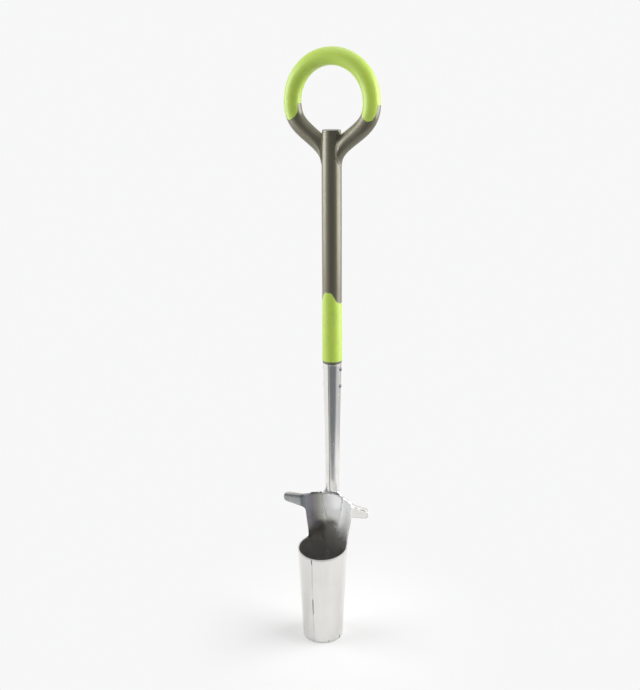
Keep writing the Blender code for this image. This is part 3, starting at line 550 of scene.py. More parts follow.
def weld_finish():
    """Dark weld metal with patches of paler scale."""
    color = bpy.context.scene.planter_finish.weld
    material, g, shader = new_finish("weld_metal", color, 0.5, 0.7)
    scale = g.noise(700.0, 5.0, 0.7)
    g.feed(shader, "Base Color", g.mix(g.span(scale, 0.46, 0.68), color, WELD_SCALE))
    g.feed(shader, "Roughness", g.plus(0.34, g.times(scale, 0.3)))
    bump(g, shader, scale, 0.8, 0.0004)
    return material


RIVET_STEEL = (0.16, 0.16, 0.165)
RIVET_BLACKENED = (0.14, 0.14, 0.145)
RIVET_BRIGHT = (0.42, 0.42, 0.42)


def rivet_finish():
    """Blackened rivet steel with the bright spots that the setting tool leaves."""
    material, g, shader = new_finish("rivet_steel", RIVET_STEEL, 0.42, 0.9)
    spots = g.span(g.noise(900.0, 3.0, 0.6), 0.52, 0.70)
    g.feed(shader, "Base Color", g.mix(g.times(spots, 0.4), RIVET_BLACKENED, RIVET_BRIGHT))
    g.feed(shader, "Roughness", g.plus(0.36, g.times(spots, 0.2)))
    bump(g, shader, spots, 0.4, 0.0001)
    return material


CORE_STEEL = (0.35, 0.35, 0.36)


def core_finish():
    """Plain drawn steel of the core tube."""
    material, g, shader = new_finish("drawn_core_steel", CORE_STEEL, 0.4, 1.0)
    lines = use_group(g, "drawn_lines", Fineness=700.0)
    g.feed(shader, "Roughness", g.plus(0.34, g.times(lines.outputs["Mask"], 0.2)))
    bump(g, shader, lines.outputs["Height"], 0.3, 0.0002)
    return material


FINISH_BUILDERS = {
    "resin": resin_finish, "soft_grip": soft_grip_finish, "weld": weld_finish, "core": core_finish,
    "rivet": rivet_finish,
    "cutter_steel": lambda: steel_finish("cutter_steel", 0.16, 0.30),
    "socket_steel": lambda: steel_finish("socket_steel", 0.18, 0.22),
}
FINISHES = {}


def finish(name):
    if name not in FINISHES:
        FINISHES[name] = FINISH_BUILDERS[name]()
    return FINISHES[name]


# Marks on the vertices, which the finishes read

EDGE_STEP = 0.0004
SLIVER = 0.0001
EDGE_REACH = (0.0003, 0.0013)


def mark(piece, name, value_of):
    """Store a number on each vertex for a material to read."""
    attribute = piece.data.attributes.new(name, "FLOAT", "POINT")
    for vertex, stored in zip(piece.data.vertices, attribute.data):
        stored.value = value_of(vertex)


def sharp_places(piece):
    """Points along the sharp edges of a piece that isn't rounded yet."""
    mesh = bmesh.new()
    mesh.from_mesh(piece.data)
    places = []
    for edge in mesh.edges:
        length = edge.calc_length()
        sliver = any(face.calc_area() < length * SLIVER for face in edge.link_faces)
        if edge.calc_face_angle(0.0) > SHARP_ANGLE and length > SLIVER and not sliver:
            start, end = (vertex.co for vertex in edge.verts)
            steps = max(1, round(length / EDGE_STEP))
            places += [start.lerp(end, (i + 0.5) / steps) for i in range(steps)]
    mesh.free()
    return places


def mark_edges(piece, places):
    """Store how near each vertex is to a sharp edge."""
    tree = KDTree(len(places))
    for i, place in enumerate(places):
        tree.insert(place, i)
    tree.balance()
    mark(piece, "edge", lambda vertex: 1.0 - smoothstep(tree.find(vertex.co)[2], *EDGE_REACH))


def from_axis(place):
    """Level direction from the cutter's axis to a place."""
    return Vector((place.x, place.y - CUTTER_AXIS_Y, 0.0)).normalized()


def looks_in(vertex):
    """How far a vertex of the cutter faces the tube's axis, from -1 to 1."""
    return -vertex.normal.dot(from_axis(vertex.co))


# Temper colours of the cutter, which also paint shade on the inner left wall and wing and below the
# tongue's end
HEAT_SHADE_FAR_X = -0.013
HEAT_SHADE_NEAR_X = -0.043
HEAT_SHADE_PAST_X = -0.047
HEAT_SHADE_WING_X = -0.062
HEAT_SHADE_FROM_Z = (0.180, 0.215)
HEAT_SHADE_FACING = (-0.05, 0.35)
HEAT_SHADE_PEAK = 0.66
HEAT_SHADE_THROUGH = 0.15
LOW_HEAT_SHADE = 0.32
LOW_HEAT_SHADE_LIMIT = 0.50
LOW_HEAT_SHADE_Z = (0.204, 0.226)
LOW_HEAT_SHADE_END_Z = (0.145, 0.192)
LOW_HEAT_SHADE_X = (0.004, 0.020)


def cutter_heat_and_shade(vertex):
    """Temper colours left of the tongue, growing toward the tread, and below the tongue's end, made
    darker than temper alone as painted shade.
    """
    x, _, z = vertex.co
    rising = HEAT_SHADE_PEAK * min(1.0, max(0.0, (HEAT_SHADE_FAR_X - x) / (HEAT_SHADE_FAR_X - HEAT_SHADE_NEAR_X)))
    past = falling(x, HEAT_SHADE_WING_X, HEAT_SHADE_PAST_X)
    welded_side = lerp(HEAT_SHADE_THROUGH, 1.0, smoothstep(looks_in(vertex), *HEAT_SHADE_FACING))
    tint = (rising + (1.0 - HEAT_SHADE_PEAK) * past) * welded_side * smoothstep(z, *HEAT_SHADE_FROM_Z)
    low = falling(z, *LOW_HEAT_SHADE_Z) * smoothstep(z, *LOW_HEAT_SHADE_END_Z)
    low *= LOW_HEAT_SHADE * smoothstep(-x, *LOW_HEAT_SHADE_X) * welded_side
    return max(tint, min(LOW_HEAT_SHADE_LIMIT, tint + low))


INSIDE_FACING = (0.1, 0.6)
INSIDE_FOOT = 0.15
INSIDE_TURN_X = (-0.018, 0.020)
INSIDE_LEFT_Z = (0.215, 0.250)
INSIDE_RIGHT_Z = (0.165, 0.232)


def cutter_inside(vertex):
    """How dull a vertex is: 1 high up on the wall inside the cutter, little at its foot, 0 outside."""
    x, _, z = vertex.co
    if abs(x) > TREAD_FROM_X:
        return 0.0
    right = smoothstep(x, *INSIDE_TURN_X)
    start, end = (lerp(here, there, right) for here, there in zip(INSIDE_LEFT_Z, INSIDE_RIGHT_Z))
    share = INSIDE_FOOT + (1.0 - INSIDE_FOOT) * smoothstep(z, start, end)
    return smoothstep(looks_in(vertex), *INSIDE_FACING) * share


# The tongue's end is darkened, partly by temper and partly by painted shade that blends it into the
# shaded wall below
TONGUE_END_HEAT_AND_SHADE = 0.40
TONGUE_END_Z = (SOCKET_LOW.z, SOCKET_LOW.z + 0.026)
TONGUE_RIGHT_HEAT_AND_SHADE = 0.55
TONGUE_TURN_X = (-0.006, 0.012)
FAINT_HEAT = 0.04
FAINT_HEAT_Z = (CUTTER_HIGH.z, 0.31)
FOOT_DULL = 0.6
FOOT_DULL_Z = (CUTTER_HIGH.z, 0.285)


def socket_heat_and_shade(vertex):
    """Temper colours of the socket: faint at its foot, and strong at the tongue's end, where they are
    also painted shade.
    """
    x, _, z = vertex.co
    left = lerp(1.0, TONGUE_RIGHT_HEAT_AND_SHADE, smoothstep(x, *TONGUE_TURN_X))
    return FAINT_HEAT * falling(z, *FAINT_HEAT_Z) + TONGUE_END_HEAT_AND_SHADE * left * falling(z, *TONGUE_END_Z)


# Meshes made by extrusion and by beads

def bar_of_rings(name, rings):
    """A closed bar: a disc is shaped to the first ring, then extruded and shaped to each next one."""
    bpy.ops.object.select_all(action="DESELECT")
    bpy.ops.mesh.primitive_circle_add(vertices=len(rings[0]), radius=0.001, fill_type="NGON")
    piece = bpy.context.object
    piece.name = piece.data.name = name
    bpy.ops.object.mode_set(mode="EDIT")
    bpy.ops.mesh.select_mode(type="FACE")
    bpy.ops.mesh.select_all(action="SELECT")
    for i, ring in enumerate(rings):
        if i:
            bpy.ops.mesh.extrude_region()
        mesh = bmesh.from_edit_mesh(piece.data)
        end = next(face for face in mesh.faces if face.select)
        for vertex, point in zip([loop.vert for loop in end.loops], ring):
            vertex.co = point
        bmesh.update_edit_mesh(piece.data)
    bpy.ops.mesh.select_all(action="SELECT")
    bpy.ops.mesh.normals_make_consistent(inside=False)
    leave_edit()
    return piece


BEAD_ROUGHNESS = 0.28
BEAD_GRAIN = 1.7
BEAD_SHIFT = 3.1


def bead_chain(name, places, voxel):
    """Weld beads of (place, radius), each a ball with a rough skin, fused into one run."""
    bpy.ops.object.select_all(action="DESELECT")
    bpy.ops.mesh.primitive_uv_sphere_add(segments=14, ring_count=8, radius=1.0)
    first = bpy.context.object
    first.name = name
    beads = [first]
    for _ in places[1:]:
        only(first)
        bpy.ops.object.duplicate()
        beads.append(bpy.context.object)
    for i, (bead, (place, radius)) in enumerate(zip(beads, places)):
        shift = Vector((i * BEAD_SHIFT, 0.0, 0.0))
        for vertex in bead.data.vertices:
            rough = 1.0 + BEAD_ROUGHNESS * noise.noise(vertex.co * BEAD_GRAIN + shift)
            vertex.co = Vector(place) + vertex.co * radius * rough
    only(first)
    for bead in beads:
        bead.select_set(True)
    bpy.ops.object.join()
    first.data.name = name
    apply_modifier(first, "Fuse", "REMESH", mode="VOXEL", voxel_size=voxel)
    apply_modifier(first, "Settle", "SMOOTH", factor=0.5, iterations=2)
    return first


def wander(i, seed):
    """A steady number, mostly from -1 to 1, for a bead."""
    return noise.noise(Vector((i * 0.77 + seed, seed * 1.3, 0.5))) * 1.8


TREES = {}


def strike(node, x, z, from_y):
    """Where a line along Y, at this x and z, first meets a CAD node: its y, or None."""
    if node not in TREES:
        mesh = frame["nodes"][node].data
        TREES[node] = BVHTree.FromPolygons([vertex.co for vertex in mesh.vertices],
                                           [tuple(face.vertices) for face in mesh.polygons])
    heading = Vector((0.0, 1.0 if from_y < 0.0 else -1.0, 0.0))
    place = TREES[node].ray_cast(Vector((x, from_y, z)), heading)[0]
    return place.y if place is not None else None


# The tongue, hammered thin toward its edge

TONGUE_HALF = (0.004, 0.03)
TONGUE_STEP = 0.0001
OUTLINE_STEPS = 44
FOOT_STEPS = 5
FEATHER = 0.0100
FEATHER_LOW = 0.0004
FEATHER_TOP_Z = (0.230, 0.2725)
TONGUE_HEIGHT = 0.0010
TONGUE_LIFT = 0.0030


def tongue_edge(z, side):
    """Where the tongue ends sideways at a height."""
    x = TONGUE_HALF[0]
    while x < TONGUE_HALF[1] and strike("socket", side * (x + TONGUE_STEP), z, FROM_INSIDE) is not None:
        x += TONGUE_STEP
    return x


def tongue_outline():
    """Points (x, z) round the tongue's edge, from its top right down and up to its top left."""
    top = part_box("tongue_weld_left")[1].z + 0.0005
    low = SOCKET_LOW.z + 0.00015
    turns = [math.radians(i * 90.0 / OUTLINE_STEPS) for i in range(OUTLINE_STEPS, -1, -1)]
    levels = [lerp(low, top, 1.0 - math.cos(turn)) for turn in turns]
    right = [(tongue_edge(z, 1.0), z) for z in levels]
    steps = range(1, FOOT_STEPS + 1)
    half = right + [(lerp(right[-1][0], 0.0, i / FOOT_STEPS), low) for i in steps]
    return half + [(-x, z) for x, z in reversed(half[:-1])]


def feathered(inward, z):
    """Height of the tongue over the wall, at a distance inside its edge."""
    thin = FEATHER_LOW + (TONGUE_HEIGHT - FEATHER_LOW) * smoothstep(inward, 0.0, FEATHER)
    return thin + TONGUE_LIFT * smoothstep(z, *FEATHER_TOP_Z)


def feather_tongue(piece):
    """Hammer the edge of the tongue down toward the wall that it lies on."""
    outline = [Vector(point) for point in tongue_outline()]
    for vertex in piece.data.vertices:
        x, y, z = vertex.co
        if z < FEATHER_TOP_Z[1]:
            wall = strike("cutter", x, z, FROM_INSIDE)
            inward = min((Vector((x, z)) - point).length for point in outline)
            vertex.co.y = max(y, wall - feathered(inward, z)) if wall is not None else y


# Handle, grips and cap

def build_moulding(node, name):
    piece = copy_of_node(node, name)
    edges = sharp_places(piece)
    round_and_smooth(piece, node)
    mark_edges(piece, edges)
    finish_piece(piece, finish("resin"), "resin", node)


class PLANTER_OT_handle(bpy.types.Operator):
    """Build the resin moulding: ring, arms and shaft jacket"""
    bl_idname = "planter.handle"
    bl_label = "Handle moulding"

    def execute(self, context):
        build_moulding("handle_frame", "handle_moulding")
        return {"FINISHED"}


class PLANTER_OT_grips(bpy.types.Operator):
    """Build the soft grip of the ring and the soft sleeve of the shaft"""
    bl_idname = "planter.grips"
    bl_label = "Soft grips"

    def execute(self, context):
        for node, name in (("ring_grip", "ring_soft_grip"), ("sleeve_grip", "shaft_soft_sleeve")):
            piece = copy_of_node(node, name)
            round_and_smooth(piece, node)
            finish_piece(piece, finish("soft_grip"), "soft_grip", node)
        return {"FINISHED"}


class PLANTER_OT_end_cap(bpy.types.Operator):
    """Build the cap on the end of the shaft"""
    bl_idname = "planter.end_cap"
    bl_label = "End cap"

    def execute(self, context):
        build_moulding("shaft_end_cap", "shaft_cap")
        return {"FINISHED"}


# Socket and cutter

class PLANTER_OT_socket(bpy.types.Operator):
    """Build the rolled socket with its tongue, and its rivets, and finish the core tube inside"""
    bl_idname = "planter.socket"
    bl_label = "Socket, rivets and core tube"

    def execute(self, context):
        piece = copy_of_node("socket", "rolled_socket")
        edges = sharp_places(piece)
        round_and_smooth(piece, "socket")
        feather_tongue(piece)
        mark(piece, "temper", socket_heat_and_shade)
        mark(piece, "inside", lambda vertex: FOOT_DULL * falling(vertex.co.z, *FOOT_DULL_Z))
        mark_edges(piece, edges)
        finish_piece(piece, finish("socket_steel"), "stainless", "socket")
        for which in ("upper", "lower"):
            node = "socket_rivet_" + which
            rivet = copy_of_node(node, "rivet_" + which)
            round_and_smooth(rivet, node)
            finish_piece(rivet, finish("rivet"), "stainless", node)
        frame["nodes"]["core_tube"].data.materials[0] = finish("core")
        return {"FINISHED"}


SEAM_FROM_Z = 0.0015
SEAM_TOP_Z = 0.1790
SEAM_OPEN = (0.064, 0.093)
SEAM_OPEN_RAMP = 0.0008
SEAM_NICK_Z = (0.1699, 0.1705)
SLIT_WIDER = 0.00050
SLIT_REACH = (0.0008, 0.0030)


def seam_opening(z):
    """How far the seam lies open at a height, from 0 to 1."""
    start, end = SEAM_OPEN
    slit = smoothstep(z, start - SEAM_OPEN_RAMP, start) * falling(z, end, end + SEAM_OPEN_RAMP)
    return max(slit, smoothstep(z, *SEAM_NICK_Z))


def open_slit(piece):
    """Draw the seam's edges apart where the weld misses it."""
    for vertex in piece.data.vertices:
        x, y, z = vertex.co
        if y < 0.0 and abs(x) < SLIT_REACH[1] and z < SEAM_TOP_Z:
            moved = SLIT_WIDER * seam_opening(z) * falling(abs(x), *SLIT_REACH)
            vertex.co.x = math.copysign(abs(x) + moved, x)


SPLIT_X = (0.0355, 0.0420)
SPLIT_Y = (0.0100, 0.0142)
SPLIT_Z = (0.0960, 0.1950)
SPLIT_END = 0.002
SPLIT_WIDTH = 0.0004
SPLIT_WALL_TURN = 0.5


def on_split(vertex):
    """Whether a vertex of the cutter lies on the hairline split beside the half-pipe's foot."""
    x, y, z = vertex.co
    limits = zip((abs(x), y, z), (SPLIT_X, SPLIT_Y, SPLIT_Z))
    return all(low < value < high for value, (low, high) in limits)


def is_split_wall(face):
    """Whether a face at the split's foot runs through the sheet and not along it."""
    at_foot = min(vertex.co.z for vertex in face.verts) < SPLIT_Z[0] + SPLIT_END
    across = abs(face.normal.dot(from_axis(face.calc_center_median()))) < SPLIT_WALL_TURN
    return at_foot and across and all(on_split(vertex) for vertex in face.verts)


def close_splits(piece):
    """Join the two sides of the split where the CAD's lower and upper sheet meet, and drop its walls."""
    enter_edit(piece)
    choose(piece, lambda vertex: on_split(vertex) and vertex.co.z > SPLIT_Z[1] - SPLIT_END, "VERT")
    bpy.ops.mesh.remove_doubles(threshold=SPLIT_WIDTH)
    choose(piece, is_split_wall)
    bpy.ops.mesh.delete(type="FACE")
    leave_edit()


class PLANTER_OT_cutter(bpy.types.Operator):
    """Build the rolled cutter with its treads"""
    bl_idname = "planter.cutter"
    bl_label = "Cutter"

    def execute(self, context):
        piece = copy_of_node("cutter", "rolled_cutter")
        close_splits(piece)
        edges = sharp_places(piece)
        round_and_smooth(piece, "cutter")
        open_slit(piece)
        mark(piece, "temper", cutter_heat_and_shade)
        mark(piece, "inside", cutter_inside)
        mark_edges(piece, edges)
        finish_piece(piece, finish("cutter_steel"), "stainless", "cutter")
        return {"FINISHED"}


# Welds

BESIDE_SEAM = 0.0012
SEAM_DEPTH = 0.0012
SEAM_HALF = (0.0008, 0.0006)
SEAM_THROAT = 0.00028
SEAM_LIP = 0.0006
SEAM_BEAD_HALF = 0.0013
SEAM_SHOULDER = 0.0007
SEAM_CROWN = 0.0009
SEAM_STEPS = 44
SEAM_HEAT = 0.66
SEAM_FRONT_Y = -0.03


def seam_ring(z):
    """Section of the front seam's weld: flush outside, a low bead inside."""
    struck = [strike("cutter", side * BESIDE_SEAM, z, FROM_FRONT) for side in (-1.0, 1.0)]
    face = sum(struck) / 2 - 0.00001
    front = face + SEAM_DEPTH * seam_opening(z)
    half = lerp(*SEAM_HALF, seam_opening(z))
    back = face + SHEET
    crown = SEAM_CROWN + 0.0002 * noise.noise(Vector((0.0, 0.0, z * 400.0)))
    right = [(half, front), (SEAM_THROAT, max(front, face + SEAM_LIP)), (SEAM_THROAT, back),
             (SEAM_BEAD_HALF, back + 0.0001), (SEAM_SHOULDER, back + 0.8 * crown)]
    left = [(-x, y) for x, y in reversed(right)]
    section = [left[-1], (0.0, front - 0.00002), *right, (0.0, back + crown), *left[:-1]]
    return [(x, y, z) for x, y in section]


def seam_levels():
    """Heights of the seam's sections, closer together where it opens and closes."""
    levels = [lerp(SEAM_FROM_Z, SEAM_TOP_Z, i / SEAM_STEPS) for i in range(SEAM_STEPS + 1)]
    for z in (*SEAM_OPEN, SEAM_NICK_Z[1]):
        levels += [z - 0.0009, z - 0.0005, z - 0.0001, z + 0.0004, z + 0.0009]
    return sorted(levels)


TONGUE_MIDDLE_Z = 0.25
FILLET_LAP = 0.0008
FILLET_NEAR = 0.0009
FILLET_TOE_LEFT = 0.0036
FILLET_TOE_RIGHT = 0.0020
# The last number darkens the left side of the fillet, as painted shade
FILLET_LEFT_SHADE = 0.15


def fillet_ring(place, before, after):
    """Section of the weld between the tongue's edge and the cutter's wall, at a place on the edge."""
    x, z = place
    along = Vector((after[0] - before[0], after[1] - before[1])).normalized()
    outward = -along.y * x - along.x * (TONGUE_MIDDLE_Z - z) > 0.0
    out = Vector((-along.y, along.x)) * (1.0 if outward else -1.0)
    toe = FILLET_TOE_RIGHT if x > 0.0 else FILLET_TOE_LEFT
    toe += 0.0004 * noise.noise(Vector((x * 320.0, 0.0, z * 320.0)))

    def off(reach):
        return x + out.x * reach, z + out.y * reach

    near = strike("cutter", *off(FILLET_LAP), FROM_INSIDE)
    far = strike("cutter", *off(toe), FROM_INSIDE)
    wall = strike("cutter", *off(-FILLET_LAP), FROM_INSIDE)
    on_tongue = max(strike("socket", *off(-FILLET_LAP), FROM_INSIDE), wall - feathered(FILLET_LAP, z))
    section = [(-FILLET_LAP, on_tongue - 0.00002), (0.0002, on_tongue + 0.0001),
               (FILLET_NEAR, near - 0.00022), (toe, far - 0.00001), (FILLET_NEAR, near + 0.0006),
               (-0.0006, wall + 0.0004)]
    return [(off(reach)[0], y, off(reach)[1]) for reach, y in section]


def fillet_rings():
    """Sections of the fillet all round the tongue's edge."""
    outline = tongue_outline()
    befores, afters = outline[:1] + outline[:-1], outline[1:] + outline[-1:]
    return [fillet_ring(*places) for places in zip(outline, befores, afters)]


# Painted shade: the fillet's left side is tinted darker than the cutter beside it
def fillet_heat_and_shade(vertex):
    return cutter_heat_and_shade(vertex) + (FILLET_LEFT_SHADE if vertex.co.x < 0.0 else 0.0)


TONGUE_BEADS = 34
TONGUE_BEAD_R = 0.0008
TONGUE_BEAD_GAPS = -0.35


def tongue_bead_places():
    """Loose beads along the tongue's right edge."""
    low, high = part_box("tongue_weld_right")
    places = []
    for i in range(TONGUE_BEADS):
        z = lerp(high.z, low.z + 0.004, i / (TONGUE_BEADS - 1)) + 0.0008 * wander(i, 3.0)
        x = tongue_edge(z, 1.0) + 0.0007 + 0.0004 * wander(i, 8.0)
        if wander(i, 6.5) > TONGUE_BEAD_GAPS:
            place = (x, strike("cutter", x, z, FROM_INSIDE) - 0.0001, z)
            places.append((place, TONGUE_BEAD_R + 0.0004 * wander(i, 5.0)))
    return places


PINCH_BEADS = 26
PINCH_BEAD_R = 0.0012


def pinch_bead_places():
    """Beads across the socket's pinched foot."""
    low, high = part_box("pinch_weld")
    places = []
    for i in range(PINCH_BEADS):
        x = lerp(low.x, high.x, i / (PINCH_BEADS - 1))
        y = strike("socket", x, low.z, FROM_INSIDE) or high.y
        place = (x + 0.0004 * wander(i, 1.0), y - 0.0005, high.z - 0.0006 + 0.0005 * wander(i, 2.0))
        places.append((place, PINCH_BEAD_R + 0.0006 * wander(i, 4.0)))
    return places


LIP_BEADS = 52
LIP_FROM_X = -0.0410
LIP_GAPS = -0.55
LIP_BEAD_R = (0.0012, 0.0006)
LIP_SINK = 0.0012


def lip_bead_places():
    """Beads along the head's top edge, broken and thick at its left end."""
    low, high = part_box("head_top_weld")
    places = []
    for i in range(LIP_BEADS):
        x = lerp(LIP_FROM_X, high.x, i / (LIP_BEADS - 1))
        y = strike("cutter", x, CUTTER_HIGH.z - LIP_SINK, FROM_BEHIND) - LIP_SINK
        radius = LIP_BEAD_R[0] if x < low.x + 0.003 else LIP_BEAD_R[1]
        if x > low.x or wander(i, 2.5) > LIP_GAPS:
            place = (x, y, CUTTER_HIGH.z + 0.0004 + 0.0005 * wander(i, 6.0))
            places.append((place, radius * (1.0 + 0.4 * wander(i, 7.0))))
    return places


TACK_GAPS = -0.5

# Node, start and end as (x, z), radius, and number of beads
TACKS = (
    ("cutter", (0.0262, 0.0010), (0.0262, 0.0045), 0.0006, 7),
    ("cutter", (0.0376, 0.0010), (0.0380, 0.0085), 0.0006, 12),
    ("cutter", (0.0560, 0.2705), (0.0850, 0.2705), 0.0006, 40),
    ("socket", (0.0030, 0.5475), (0.0030, 0.5430), 0.0004, 8),
    ("socket", (0.0026, 0.3800), (0.0026, 0.3720), 0.0004, 12),
)


def tack_places():
    """Small spots of weld in front: at the foot, along the right tread and beside the socket's seam."""
    places = []
    for node, start, end, radius, count in TACKS:
        for i in range(count):
            x, z = (lerp(a, b, i / (count - 1)) for a, b in zip(start, end))
            y = strike(node, x, z, FROM_FAR_FRONT)
            if y is not None and wander(i, start[0] * 90.0) > TACK_GAPS:
                places.append(((x, y + 0.4 * radius, z), radius * (1.0 + 0.5 * wander(i, 9.0))))
    return places


BEAD_VOXEL = 0.00025
FINE_VOXEL = 0.00022


class PLANTER_OT_welds(bpy.types.Operator):
    """Build the weld runs"""
    bl_idname = "planter.welds"
    bl_label = "Welds"

    def execute(self, context):
        steel = finish("cutter_steel")
        seam = bar_of_rings("cutter_seam_run", [seam_ring(z) for z in seam_levels()])
        mark(seam, "temper",
             lambda vertex: SEAM_HEAT * seam_opening(vertex.co.z) * (vertex.co.y < SEAM_FRONT_Y))
        mark(seam, "inside", lambda vertex: 1.0 if vertex.co.y > CUTTER_LOW.y + 0.01 else 0.0)
        finish_piece(seam, steel, "weld", "cutter_seam_weld")

        fillet = bar_of_rings("tongue_fillet", fillet_rings())
        mark(fillet, "temper", fillet_heat_and_shade)
        mark(fillet, "inside", cutter_inside)
        finish_piece(fillet, steel, "weld", "tongue_weld_left", "tongue_weld_right")

        beads = bead_chain("tongue_weld_beads", tongue_bead_places(), FINE_VOXEL)
        mark(beads, "temper", lambda vertex: 0.12 + 0.30 * noise.noise(vertex.co * 300.0))
        finish_piece(beads, steel, "weld", smooth_deg=BEAD_SHADE_DEG)
        for name, places, voxel, *nodes in (
                ("pinch_weld_beads", pinch_bead_places(), BEAD_VOXEL, "pinch_weld"),
                ("head_top_weld_beads", lip_bead_places(), BEAD_VOXEL, "head_top_weld"),
                ("tack_marks", tack_places(), FINE_VOXEL)):
            beads = bead_chain(name, places, voxel)
            finish_piece(beads, finish("weld"), "weld", *nodes, smooth_deg=BEAD_SHADE_DEG)
        return {"FINISHED"}


# Studio; azimuth 0 is in front of the tool, and 90 at its right

# Azimuth in degrees, distance, height and size
PANELS = {
    "left_panel": (-70.0, 2.0, 0.98, (1.7, 1.4)),
    "right_panel": (117.0, 1.9, 1.05, (2.2, 1.9)),
    "top_panel": (0.0, 0.0, 2.6, (2.2, 2.2)),
}
PANEL_AIM = Vector((0.0, 0.0, 0.55))
FLOOR_R = 0.86
SHADOW_REACH = (0.03, 0.36)
# Where the paper ahead of the tool is painted with the unlit colour for reflected rays: painted shade
SHADED_PAPER_DEG = 28.0
SHADED_PAPER_FRONT = (0.54, 0.64)
MIRRORED_PAPER = (0.79, 0.79, 0.79)
UNLIT_DEG = 31.0
UNLIT_EDGE = (0.54, 0.84)
UNLIT_COLOR = (0.162, 0.178, 0.186)
UNLIT_FILL = 0.95
GREY_DEG = 118.0
GREY_EDGE = (0.24, 0.70)
GREY_COLOR = (0.60, 0.60, 0.61)
WHITE = (1.0, 1.0, 1.0)


def facing(azimuth_deg):
    """Level direction with this azimuth."""
    turn = math.radians(azimuth_deg)
    return Vector((math.sin(turn), -math.cos(turn), 0.0))


def vector_maths(g, operation, a, b):
    return g.add("ShaderNodeVectorMath", {"operation": operation}, i0=a, i1=b).outputs


def sector(g, toward, azimuth_deg, edge):
    """1 for directions near an azimuth, and 0 away from it."""
    level = vector_maths(g, "MULTIPLY", toward, (1.0, 1.0, 0.0))[0]
    heading = g.add("ShaderNodeVectorMath", {"operation": "NORMALIZE"}, i0=level).outputs[0]
    return g.span(vector_maths(g, "DOT_PRODUCT", heading, facing(azimuth_deg))["Value"], *edge)


def make_floor(studio):
    """Pale paper that the camera sees fade into the backdrop away from the tool's shadow."""
    bpy.ops.object.select_all(action="DESELECT")
    bpy.ops.mesh.primitive_circle_add(vertices=96, radius=FLOOR_R, fill_type="NGON")
    floor = bpy.context.object
    floor.name = "paper_floor"
    material = bpy.data.materials.new("floor_paper")
    material.use_nodes = True
    g = Graph(material.node_tree)
    material.node_tree.nodes.remove(material.node_tree.nodes["Principled BSDF"])
    place = g.place()
    away = g.add("ShaderNodeVectorMath", {"operation": "LENGTH"}, i0=place).outputs["Value"]
    ahead = vector_maths(g, "DOT_PRODUCT", place, facing(SHADED_PAPER_DEG))["Value"]
    camera = g.add("ShaderNodeLightPath").outputs["Is Camera Ray"]
    mirrored = g.maths("SUBTRACT", 1.0, camera)
    color = g.mix(mirrored, studio.paper, MIRRORED_PAPER)
    # Painted shade: for reflected rays, the paper ahead of the tool takes the dark unlit colour
    color = g.mix(g.times(g.span(ahead, *SHADED_PAPER_FRONT), mirrored), color, UNLIT_COLOR)
    paper = g.add("ShaderNodeBsdfDiffuse", None, Color=color)
    glow = g.add("ShaderNodeEmission", None, Color=studio.backdrop, Strength=1.0)
    fade = g.times(g.span(away, *SHADOW_REACH), camera)
    mixed = g.add("ShaderNodeMixShader", None, i0=fade, i1=paper.outputs[0], i2=glow.outputs[0])
    g.tree.links.new(mixed.outputs[0], g.tree.nodes["Material Output"].inputs["Surface"])
    floor.data.materials.append(material)


def make_world(studio):
    """White backdrop, with the unlit side of the studio behind the camera."""
    world = bpy.data.worlds.new("studio_surround")
    bpy.context.scene.world = world
    world.use_nodes = True
    g = Graph(world.node_tree)
    path = g.add("ShaderNodeLightPath").outputs
    toward = g.add("ShaderNodeTexCoord").outputs["Generated"]
    unlit = sector(g, toward, UNLIT_DEG, UNLIT_EDGE)
    seen = g.mix(sector(g, toward, GREY_DEG, GREY_EDGE), studio.backdrop, GREY_COLOR)
    seen = g.mix(unlit, seen, UNLIT_COLOR)
    fill = g.times(studio.fill, g.span(unlit, 0.0, 1.0, 1.0, UNLIT_FILL))
    mirror = g.maths("MAXIMUM", path["Is Glossy Ray"], path["Is Transmission Ray"])
    surround, reflected, backdrop = (
        g.add("ShaderNodeBackground", None, Color=color, Strength=strength).outputs[0]
        for color, strength in ((WHITE, fill), (seen, 1.0), (studio.backdrop, 1.0)))
    lit = g.add("ShaderNodeMixShader", None, i0=mirror, i1=surround, i2=reflected).outputs[0]
    last = g.add("ShaderNodeMixShader", None, i0=path["Is Camera Ray"], i1=lit, i2=backdrop)
    g.tree.links.new(last.outputs[0], g.tree.nodes["World Output"].inputs["Surface"])


def make_panel(name, power, azimuth_deg, distance, height, size):
    """A soft rectangular panel that faces the tool's middle."""
    light = bpy.data.lights.new(name, "AREA")
    light.shape = "RECTANGLE"
    light.size, light.size_y = size
    light.energy = power
    panel = bpy.data.objects.new(name, light)
    bpy.context.scene.collection.objects.link(panel)
    panel.location = facing(azimuth_deg) * distance + Vector((0.0, 0.0, height))
    panel.rotation_euler = (PANEL_AIM - panel.location).to_track_quat("-Z", "Y").to_euler()
    panel.visible_camera = False


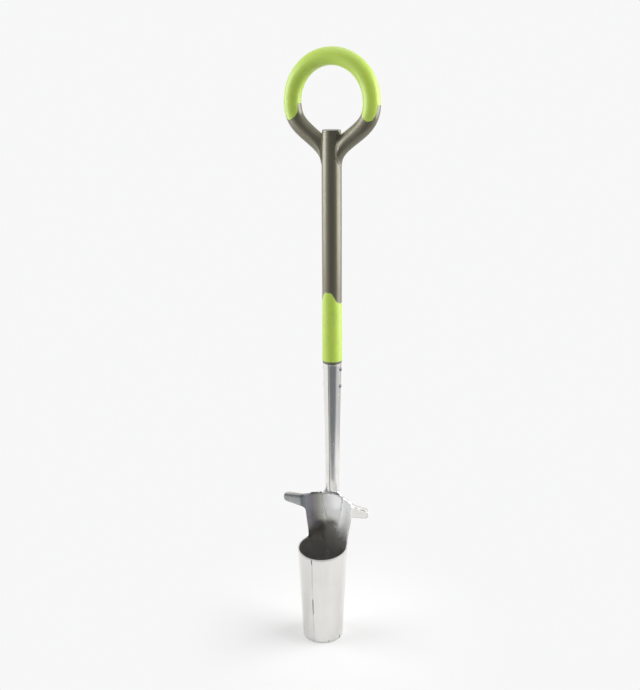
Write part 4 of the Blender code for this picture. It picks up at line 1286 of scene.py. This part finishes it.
def make_camera(studio):
    heading = studio.turn + studio.yaw
    ahead = Vector((-math.sin(heading) * math.cos(studio.pitch),
                    math.cos(heading) * math.cos(studio.pitch), -math.sin(studio.pitch)))
    level = Vector((math.cos(heading), math.sin(heading), 0.0))
    upright = level.cross(ahead)
    right = level * math.cos(studio.roll) + upright * math.sin(studio.roll)
    up = upright * math.cos(studio.roll) - level * math.sin(studio.roll)
    data = bpy.data.cameras.new("photo_camera")
    data.lens = studio.lens
    camera = bpy.data.objects.new("photo_camera", data)
    bpy.context.scene.collection.objects.link(camera)
    place = Vector((studio.distance * math.sin(studio.turn),
                    SHAFT_Y - studio.distance * math.cos(studio.turn), studio.height))
    turned = Matrix((right, up, -ahead)).transposed().to_4x4()
    camera.matrix_world = Matrix.Translation(place) @ turned
    bpy.context.scene.camera = camera


class PLANTER_OT_stage(bpy.types.Operator):
    """Set up the floor, the soft lights and the camera"""
    bl_idname = "planter.stage"
    bl_label = "Studio"

    def execute(self, context):
        studio = context.scene.planter_studio
        context.scene.view_settings.view_transform = "Standard"
        make_floor(studio)
        make_world(studio)
        for name, place in PANELS.items():
            make_panel(name, getattr(studio, name), *place)
        make_camera(studio)
        return {"FINISHED"}


# Panel and registration

class PLANTER_PT_panel(bpy.types.Panel):
    """Sizes, finishes and steps of the bulb planter"""
    bl_idname = "PLANTER_PT_panel"
    bl_label = "Bulb planter"
    bl_space_type = "VIEW_3D"
    bl_region_type = "UI"
    bl_category = "Bulb planter"

    def draw(self, context):
        for settings in (context.scene.planter_finish, context.scene.planter_studio):
            box = self.layout.box()
            for name in settings.bl_rna.properties.keys():
                if name not in ("rna_type", "name"):
                    box.prop(settings, name)
        for operator in OPERATORS:
            self.layout.operator(operator.bl_idname)


OPERATORS = (PLANTER_OT_handle, PLANTER_OT_grips, PLANTER_OT_end_cap, PLANTER_OT_socket,
             PLANTER_OT_cutter, PLANTER_OT_welds, PLANTER_OT_stage)
CLASSES = (StudioSettings, FinishSettings, *OPERATORS, PLANTER_PT_panel)


def register():
    for each in CLASSES:
        bpy.utils.register_class(each)
    bpy.types.Scene.planter_studio = bpy.props.PointerProperty(type=StudioSettings)
    bpy.types.Scene.planter_finish = bpy.props.PointerProperty(type=FinishSettings)


def unregister():
    del bpy.types.Scene.planter_finish
    del bpy.types.Scene.planter_studio
    for each in reversed(CLASSES):
        bpy.utils.unregister_class(each)


def main():
    register()
    bpy.ops.planter.handle()
    bpy.ops.planter.grips()
    bpy.ops.planter.end_cap()
    bpy.ops.planter.socket()
    bpy.ops.planter.cutter()
    bpy.ops.planter.welds()
    bpy.ops.planter.stage()


if __name__ == "__main__":
    main()
